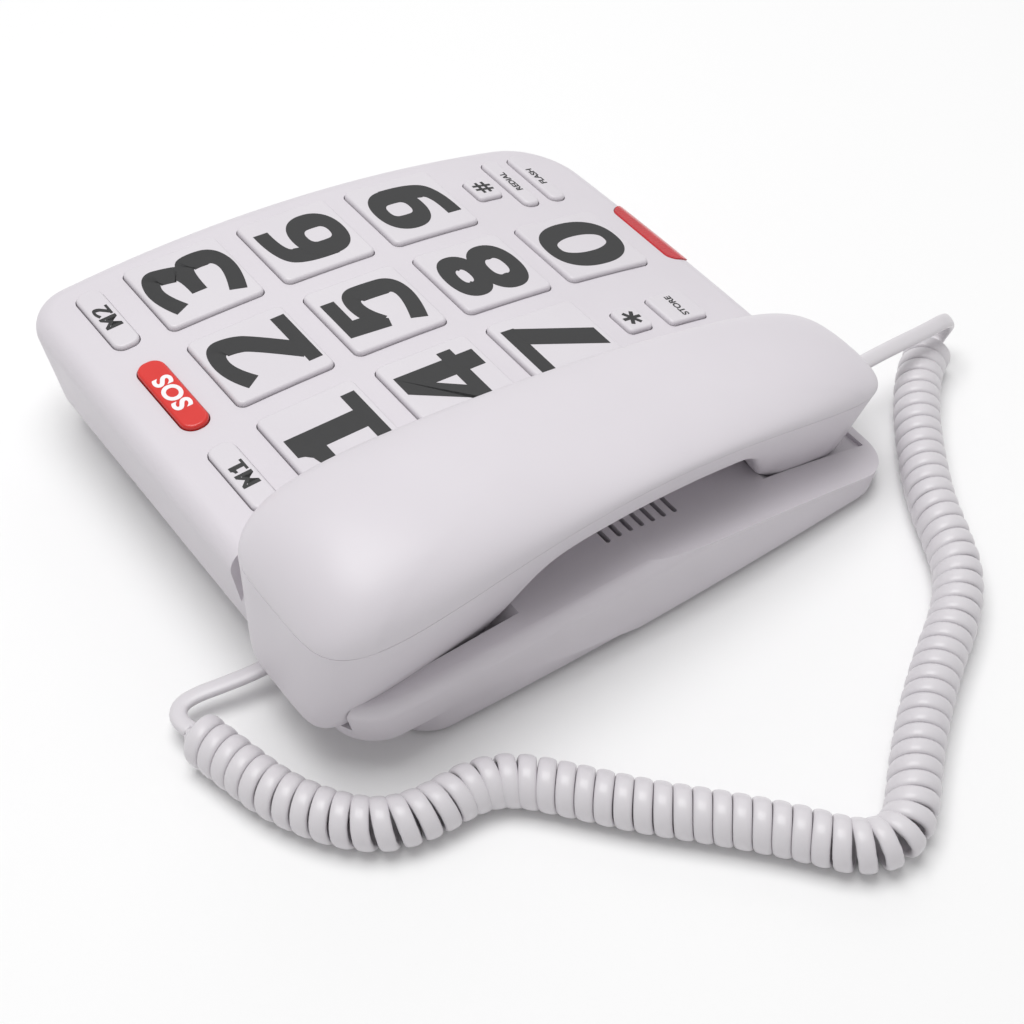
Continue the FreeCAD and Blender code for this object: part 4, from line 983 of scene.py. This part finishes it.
@dataclass
class Keypad:
    """Where the keys stand on the curved panel, and what is printed on them. Millimetres."""

    radius: float = 577.0
    crest_y: float = 76.9
    crest_z: float = 42.9
    pitch_x: float = 38.0
    pitch_y: float = 37.9
    middle_x: float = 27.35
    tilt: float = -8.5
    proud: float = 1.4
    print_depth: float = 0.05
    cap_height: float = 0.69      # of the built-in letters, for a size of one
    letter_gap: float = 0.55      # from a letter's edge to the next digit's middle, by its height
    middle_row: float = 1.5
    letter_samples: int = 8
    digit_height: float = 26.4
    sign_height: float = 6.4
    word_height: float = 2.1
    word_weight: float = 0.09
    letter_stretch: float = 1.1
    sign_y: float = -53.8
    store_y: float = -70.8
    redial_y: float = -64.4
    flash_y: float = -74.5
    memory_y: float = 75.9

    def angle_of(self, legend: Legend) -> float:
        """Panel angle at a key's middle.

        Args:
            legend: The key's legend.

        Returns:
            The angle in radians.
        """
        if legend.y is not None:
            return math.asin((legend.y - self.crest_y) / self.radius)
        return math.radians(self.tilt) + (self.middle_row - legend.row) * self.pitch_y / self.radius

    def place_of(self, legend: Legend) -> Matrix:
        """Where a legend's own plane stands.

        Args:
            legend: The legend.

        Returns:
            The placement, in metres.
        """
        angle = self.angle_of(legend)
        reach = self.radius + self.proud
        spot = Vector((self.middle_x + legend.column * self.pitch_x,
                       self.crest_y + reach * math.sin(angle),
                       self.crest_z - self.radius + reach * math.cos(angle))) * MM
        return Matrix.Translation(spot) @ Matrix.Rotation(-angle, 4, "X")

    def print_on(self, legend: Legend) -> bpy.types.Object:
        """Make one legend as a thin raised print.

        Args:
            legend: What is printed.

        Returns:
            The piece, in place.
        """
        letters = legend.text.rstrip("".join(GLYPHS))
        glyph = legend.text[len(letters):]
        shape = bmesh.new()
        if letters:
            self._add_letters(shape, letters, legend)
        if glyph:
            edge = max((vertex.co.x for vertex in shape.verts), default=None)
            self._add_glyph(shape, glyph, legend, edge)
        self._thicken(shape)
        xs = [vertex.co.x for vertex in shape.verts]
        ys = [vertex.co.y for vertex in shape.verts]
        middle = Vector(((min(xs) + max(xs)) / 2, (min(ys) + max(ys)) / 2, 0))
        shape.transform(self.place_of(legend) @ Matrix.Translation(-middle))
        piece = new_piece(f"legend_{legend.key}", shape)
        piece.data.shade_flat()
        return piece

    def _add_glyph(self, shape: bmesh.types.BMesh, glyph: str, legend: Legend, edge: Optional[float]) -> None:
        """Add a flat digit or sign to a bmesh.

        Args:
            shape: The bmesh.
            glyph: The digit or sign.
            legend: The legend that it belongs to.
            edge: Right edge of the letters before it, in metres, if there are any.
        """
        face = bmesh.new()
        GLYPHS[glyph].add_to(face)
        scale = legend.height / (2 * TOP)
        bmesh.ops.scale(face, vec=(scale * legend.stretch, scale, 1.0), verts=face.verts)
        if edge is not None:
            across = edge + self.letter_gap * legend.height * MM
            bmesh.ops.translate(face, vec=(across, 0, 0), verts=face.verts)
        mesh = bpy.data.meshes.new("glyph")
        face.to_mesh(mesh)
        face.free()
        shape.from_mesh(mesh)

    def _add_letters(self, shape: bmesh.types.BMesh, letters: str, legend: Legend) -> None:
        """Add flat letters from the built-in face to a bmesh.

        Args:
            shape: The bmesh.
            letters: The text.
            legend: The legend that it belongs to.
        """
        curve = bpy.data.curves.new("letters", "FONT")
        curve.body = letters
        curve.size = legend.height / self.cap_height * MM
        curve.offset = legend.weight * MM
        curve.resolution_u = self.letter_samples
        curve.space_character = legend.spacing
        carrier = bpy.data.objects.new("letters", curve)
        bpy.context.scene.collection.objects.link(carrier)
        bpy.context.view_layer.update()
        ready = carrier.evaluated_get(bpy.context.evaluated_depsgraph_get())
        mesh = bpy.data.meshes.new_from_object(ready)
        bpy.data.objects.remove(carrier)
        middle = legend.height / 2 * MM
        mesh.transform(Matrix.Diagonal((legend.stretch, 1, 1, 1)) @ Matrix.Translation((0, -middle, 0)))
        shape.from_mesh(mesh)

    def _thicken(self, shape: bmesh.types.BMesh) -> None:
        """Make flat faces a thin print that stands on the key.

        Args:
            shape: The bmesh of the flat faces.
        """
        shape.normal_update()
        bmesh.ops.reverse_faces(shape, faces=[face for face in shape.faces if face.normal.z < 0])
        made = bmesh.ops.extrude_face_region(shape, geom=shape.faces[:], use_keep_orig=True)["geom"]
        fresh = [item for item in made if isinstance(item, bmesh.types.BMVert)]
        bmesh.ops.translate(shape, vec=(0, 0, self.print_depth * MM), verts=fresh)
        bmesh.ops.recalc_face_normals(shape, faces=shape.faces)

    def legends(self) -> Iterator[Legend]:
        """Every legend of the keypad.

        Returns:
            The legends, one by one.
        """
        for index in range(9):
            text = str(index + 1)
            yield Legend(text, text, index % 3 - 1.0, None, index // 3, self.digit_height)
        yield Legend("0", "0", 0.0, None, 3.0, self.digit_height)
        for key, text, column in (("star", "*", -1.0), ("hash", "#", 1.0)):
            yield Legend(key, text, column, self.sign_y, 0.0, self.sign_height)
        for key, column, y in (("store", -1.0, self.store_y), ("redial", 1.0, self.redial_y),
                               ("flash", 1.0, self.flash_y)):
            yield Legend(key, key.upper(), column, y, 0.0, self.word_height, self.word_weight,
                         self.letter_stretch)
        for key, column in (("m1", -1.0), ("m2", 1.0)):
            yield Legend(key, key.upper(), column, self.memory_y, 0.0, 4.8, 0.22, self.letter_stretch)
        yield Legend("sos", "SOS", 0.0, self.memory_y, 0.0, 5.2, 0.26, self.letter_stretch, Ink.WHITE, 1.04)

    def build(self, finishes: Finishes) -> None:
        """Print every legend.

        Args:
            finishes: The telephone's finishes.
        """
        for legend in self.legends():
            piece = self.print_on(legend)
            ink = finishes.black_ink if legend.ink is Ink.BLACK else finishes.white_ink
            finish_piece(piece, f"key_{legend.key}_body", ink)


# ---------------------------------------------------------------- cord
@dataclass
class HandsetCord:
    """The handset's cord: flat lead, close coil, flat lead, as one band. Millimetres."""

    width: float = 4.75
    thickness: float = 2.5
    coil_radius: float = 5.7
    pitch: float = 4.9
    steps_per_turn: int = 26
    lead_step: float = 1.2
    onset: float = 3.6
    roundness: float = 2.6
    section_points: int = 14
    route_samples: int = 24
    blend_from_z: float = 0.0150  # metres: a lower height over the table
    blend_to_z: float = 0.0205    # metres: an upper height over the table
    base_lead: tuple[tuple[float, float, float], ...] = (
        (-43.3, 78.2, 8.6), (-43.3, 86.8, 8.6), (-42.6, 96.4, 8.0), (-40.8, 105, 7.4), (-39.2, 111.8, 7),
        (-39.6, 117, 7), (-43.35, 119.7, 7))
    coil: tuple[tuple[float, float, float], ...] = (
        (-48.8, 118.4, 7), (-64, 114.8, 7), (-79.6, 110.9, 7), (-94, 102.8, 7),
        (-102.8, 93.6, 7), (-105.6, 81.8, 7), (-105.4, 70.6, 7), (-109.2, 60.8, 7),
        (-120.8, 50.8, 7), (-135.4, 39.2, 7), (-149.8, 25.4, 7), (-164, 13, 7),
        (-177.8, 3, 7), (-180, -9, 7), (-166, -24.2, 7), (-155.6, -37.2, 7),
        (-145.2, -52.4, 7), (-137.4, -66, 7), (-127.2, -77.4, 7), (-115.2, -84, 7),
        (-103.4, -89.8, 7), (-91.4, -98, 7), (-78.8, -107.6, 7), (-68, -117.6, 7),
        (-60.6, -126.6, 7), (-56.6, -134.8, 7))
    handset_lead: tuple[tuple[float, float, float], ...] = (
        (-54.3, -139.5, 7), (-56.4, -141.2, 14), (-59.4, -135.4, 20), (-60.2, -127, 21),
        (-60.2, -116.5, 21.8), (-59.95, -105.5, 22), (-59.95, -94.6, 22))

    def route(self) -> list[Vector]:
        """The smooth middle line through leads and coil, closely sampled."""
        return smooth_line((*self.base_lead, *self.coil, *self.handset_lead), self.route_samples)

    def band(self) -> tuple[list[Vector], list[Vector]]:
        """The band's middle line and the direction of its thickness at each point.

        Returns:
            Points and thickness directions.
        """
        line = self.route()
        lengths = [0.0]
        for first, second in zip(line, line[1:]):
            lengths.append(lengths[-1] + (second - first).length)
        start = self._nearest(line, lengths, self.coil[0])
        end = self._nearest(line, lengths, self.coil[-1])
        turns = round((end - start) / (self.pitch * MM))
        places: list[tuple[float, float]] = []      # along the route, turns of the helix
        count = max(2, round(start / (self.lead_step * MM)))
        places += [(start * index / count, 0.0) for index in range(count)]
        count = turns * self.steps_per_turn
        places += [(start + (end - start) * index / count, turns * index / count) for index in range(count)]
        rest = lengths[-1] - end
        count = max(2, round(rest / (self.lead_step * MM)))
        places += [(end + rest * index / count, float(turns)) for index in range(count + 1)]
        return self._wind(line, lengths, places, start, end)

    @staticmethod
    def _nearest(line: list[Vector], lengths: list[float], point: Sequence[float]) -> float:
        """Length along the line where it passes nearest to a point.

        Args:
            line: The line's points.
            lengths: Length along it at each of them.
            point: The point, in millimetres.

        Returns:
            The length, in metres.
        """
        goal = Vector(point) * MM
        return min(zip(line, lengths), key=lambda pair: (pair[0] - goal).length)[1]

    def _wind(self, line: list[Vector], lengths: list[float], places: list[tuple[float, float]],
              start: float, end: float) -> tuple[list[Vector], list[Vector]]:
        """Wind the band round the route.

        Args:
            line: The route's points.
            lengths: Length along the route at each of them.
            places: Length along the route and turns of the helix, for each point wanted.
            start: Where the coil starts along the route.
            end: Where it ends.

        Returns:
            Points of the band's middle, and its thickness directions.
        """
        points, outward = [], []
        up = Vector((0, 0, 1))
        index = 0
        onset = self.onset * MM
        for along, turn in places:
            while index < len(lengths) - 2 and lengths[index + 1] < along:
                index += 1
            gap = max(lengths[index + 1] - lengths[index], TOUCH)
            centre = line[index].lerp(line[index + 1], (along - lengths[index]) / gap)
            ahead = (line[index + 1] - line[index]).normalized()
            up = (up - ahead * up.dot(ahead)).normalized()
            side = ahead.cross(up)
            share = min(1.0, max(0.0, min(along - start, end - along) / onset))
            share = share * share * (3 - 2 * share)
            angle = 2 * math.pi * turn
            radial = up * math.cos(angle) + side * math.sin(angle)
            points.append(centre + radial * (self.coil_radius * MM * share))
            outward.append(up.lerp(radial, min(1.0, 3 * share)).normalized())
        return points, outward

    def section(self) -> list[tuple[float, float]]:
        """The band's section: across and thickness, in metres."""
        ring = squarish_ring(self.section_points, self.roundness)
        return [(across * self.width / 2 * MM, up * self.thickness / 2 * MM) for across, up in ring]

    def build(self, finishes: Finishes) -> None:
        """Args:
            finishes: The telephone's finishes.
        """
        points, outward = self.band()
        section = self.section()
        sides, runs = len(section), len(points) - 1
        shape = bmesh.new()
        bmesh.ops.create_grid(shape, x_segments=sides, y_segments=runs, size=1.0)
        frames = []
        for index, (point, out) in enumerate(zip(points, outward)):
            ahead = (points[min(index + 1, runs)] - points[max(index - 1, 0)]).normalized()
            thick = (out - ahead * out.dot(ahead)).normalized()
            frames.append((point, thick.cross(ahead), thick))
        for vertex in shape.verts:
            wide, high = section[round((vertex.co.x + 1) / 2 * sides) % sides]
            point, across, thick = frames[round((vertex.co.y + 1) / 2 * runs)]
            vertex.co = point + across * wide + thick * high
        bmesh.ops.remove_doubles(shape, verts=shape.verts, dist=TOUCH)
        bmesh.ops.holes_fill(shape, edges=[edge for edge in shape.edges if edge.is_boundary], sides=0)
        bmesh.ops.recalc_face_normals(shape, faces=shape.faces)
        piece = new_piece("cord_handset", shape)
        piece.data.materials.append(finishes.by_slot["cord_jacket"])
        wire = sum((second - first).length for first, second in zip(points, points[1:]))
        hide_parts("cord_coil", "cord_lead_base", "cord_lead_handset")
        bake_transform(piece)
        self.width * MM
        LOG.info("cord: %.3f m of band, %d rings", wire, len(points))


# ---------------------------------------------------------------- studio
@dataclass(frozen=True)
class Softbox:
    """A square area lamp that faces the frame's origin. Metres and watts."""

    name: str
    place: tuple[float, float, float]
    size: float
    power: float

    def hang(self) -> None:
        """Put the lamp in the scene."""
        lamp = bpy.data.lights.new(self.name, "AREA")
        lamp.energy = self.power
        lamp.size = self.size
        holder = bpy.data.objects.new(self.name, lamp)
        holder.location = self.place
        holder.rotation_euler = (-Vector(self.place)).to_track_quat("-Z", "Y").to_euler()
        bpy.context.scene.collection.objects.link(holder)


@dataclass
class Studio:
    """Camera, floor, lamps and surroundings."""

    eye: tuple[float, float, float] = (-0.34355, 0.22140, 0.4180)
    ahead: tuple[float, float, float] = (0.5534, -0.3843, -0.7389)
    roll: float = -1.23
    lens: float = 69.17
    sensor: float = 36.0
    floor_size: float = 3.0
    surroundings: float = 0.45

    def camera(self) -> None:
        """Set up the camera."""
        data = bpy.data.cameras.new("camera")
        data.lens = self.lens
        data.sensor_width = self.sensor
        data.clip_start = 0.01
        data.clip_end = 20.0
        data.dof.use_dof = False
        holder = bpy.data.objects.new("camera", data)
        holder.location = self.eye
        turn = Vector(self.ahead).to_track_quat("-Z", "Y").to_matrix().to_4x4()
        holder.rotation_euler = (turn @ Matrix.Rotation(math.radians(self.roll), 4, "Z")).to_euler()
        bpy.context.scene.collection.objects.link(holder)
        bpy.context.scene.camera = holder

    def floor(self) -> None:
        """Lay a plain pale floor."""
        shape = bmesh.new()
        bmesh.ops.create_grid(shape, x_segments=1, y_segments=1, size=self.floor_size)
        piece = new_piece("floor", shape)
        shader = Shader("FloorPale", {"IOR": 1.3})
        cloud = shader.noise(3.0, 2.0)
        shader.paint(Base_Color=shader.blend((0.93, 0.93, 0.93), (0.92, 0.92, 0.92), cloud), Roughness=0.9)
        piece.data.materials.append(shader.material)

    def light(self) -> None:
        """Hang the lamps and set the surroundings."""
        world = bpy.data.worlds.new("surroundings")
        world.use_nodes = True
        glow = world.node_tree.nodes["Background"]
        glow.inputs["Color"].default_value = (1.0, 1.0, 1.0, 1.0)
        glow.inputs["Strength"].default_value = self.surroundings
        bpy.context.scene.world = world
        bpy.context.scene.view_settings.view_transform = "Standard"
        Softbox("top_box", place=(0.15, 0.1, 1.5), size=1.0, power=15.5).hang()
        Softbox("side_box", place=(0.9, -0.9, 1.0), size=0.9, power=1.5).hang()

    def build(self) -> None:
        """Set everything up."""
        self.camera()
        self.floor()
        self.light()


def main() -> None:
    """Build the telephone round its frame."""
    logging.basicConfig(level=logging.INFO, format="%(message)s")
    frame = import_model()
    Studio().build()
    finishes = Finishes()
    finishes.dress_frame(frame)
    builders: tuple[tuple[str, Callable[[Finishes], None]], ...] = (
        ("cord", HandsetCord().build), ("handset", Handset().build), ("keypad", Keypad().build))
    for name, build in builders:
        build(finishes)
        LOG.info("built %s", name)


if __name__ == "__main__":
    main()
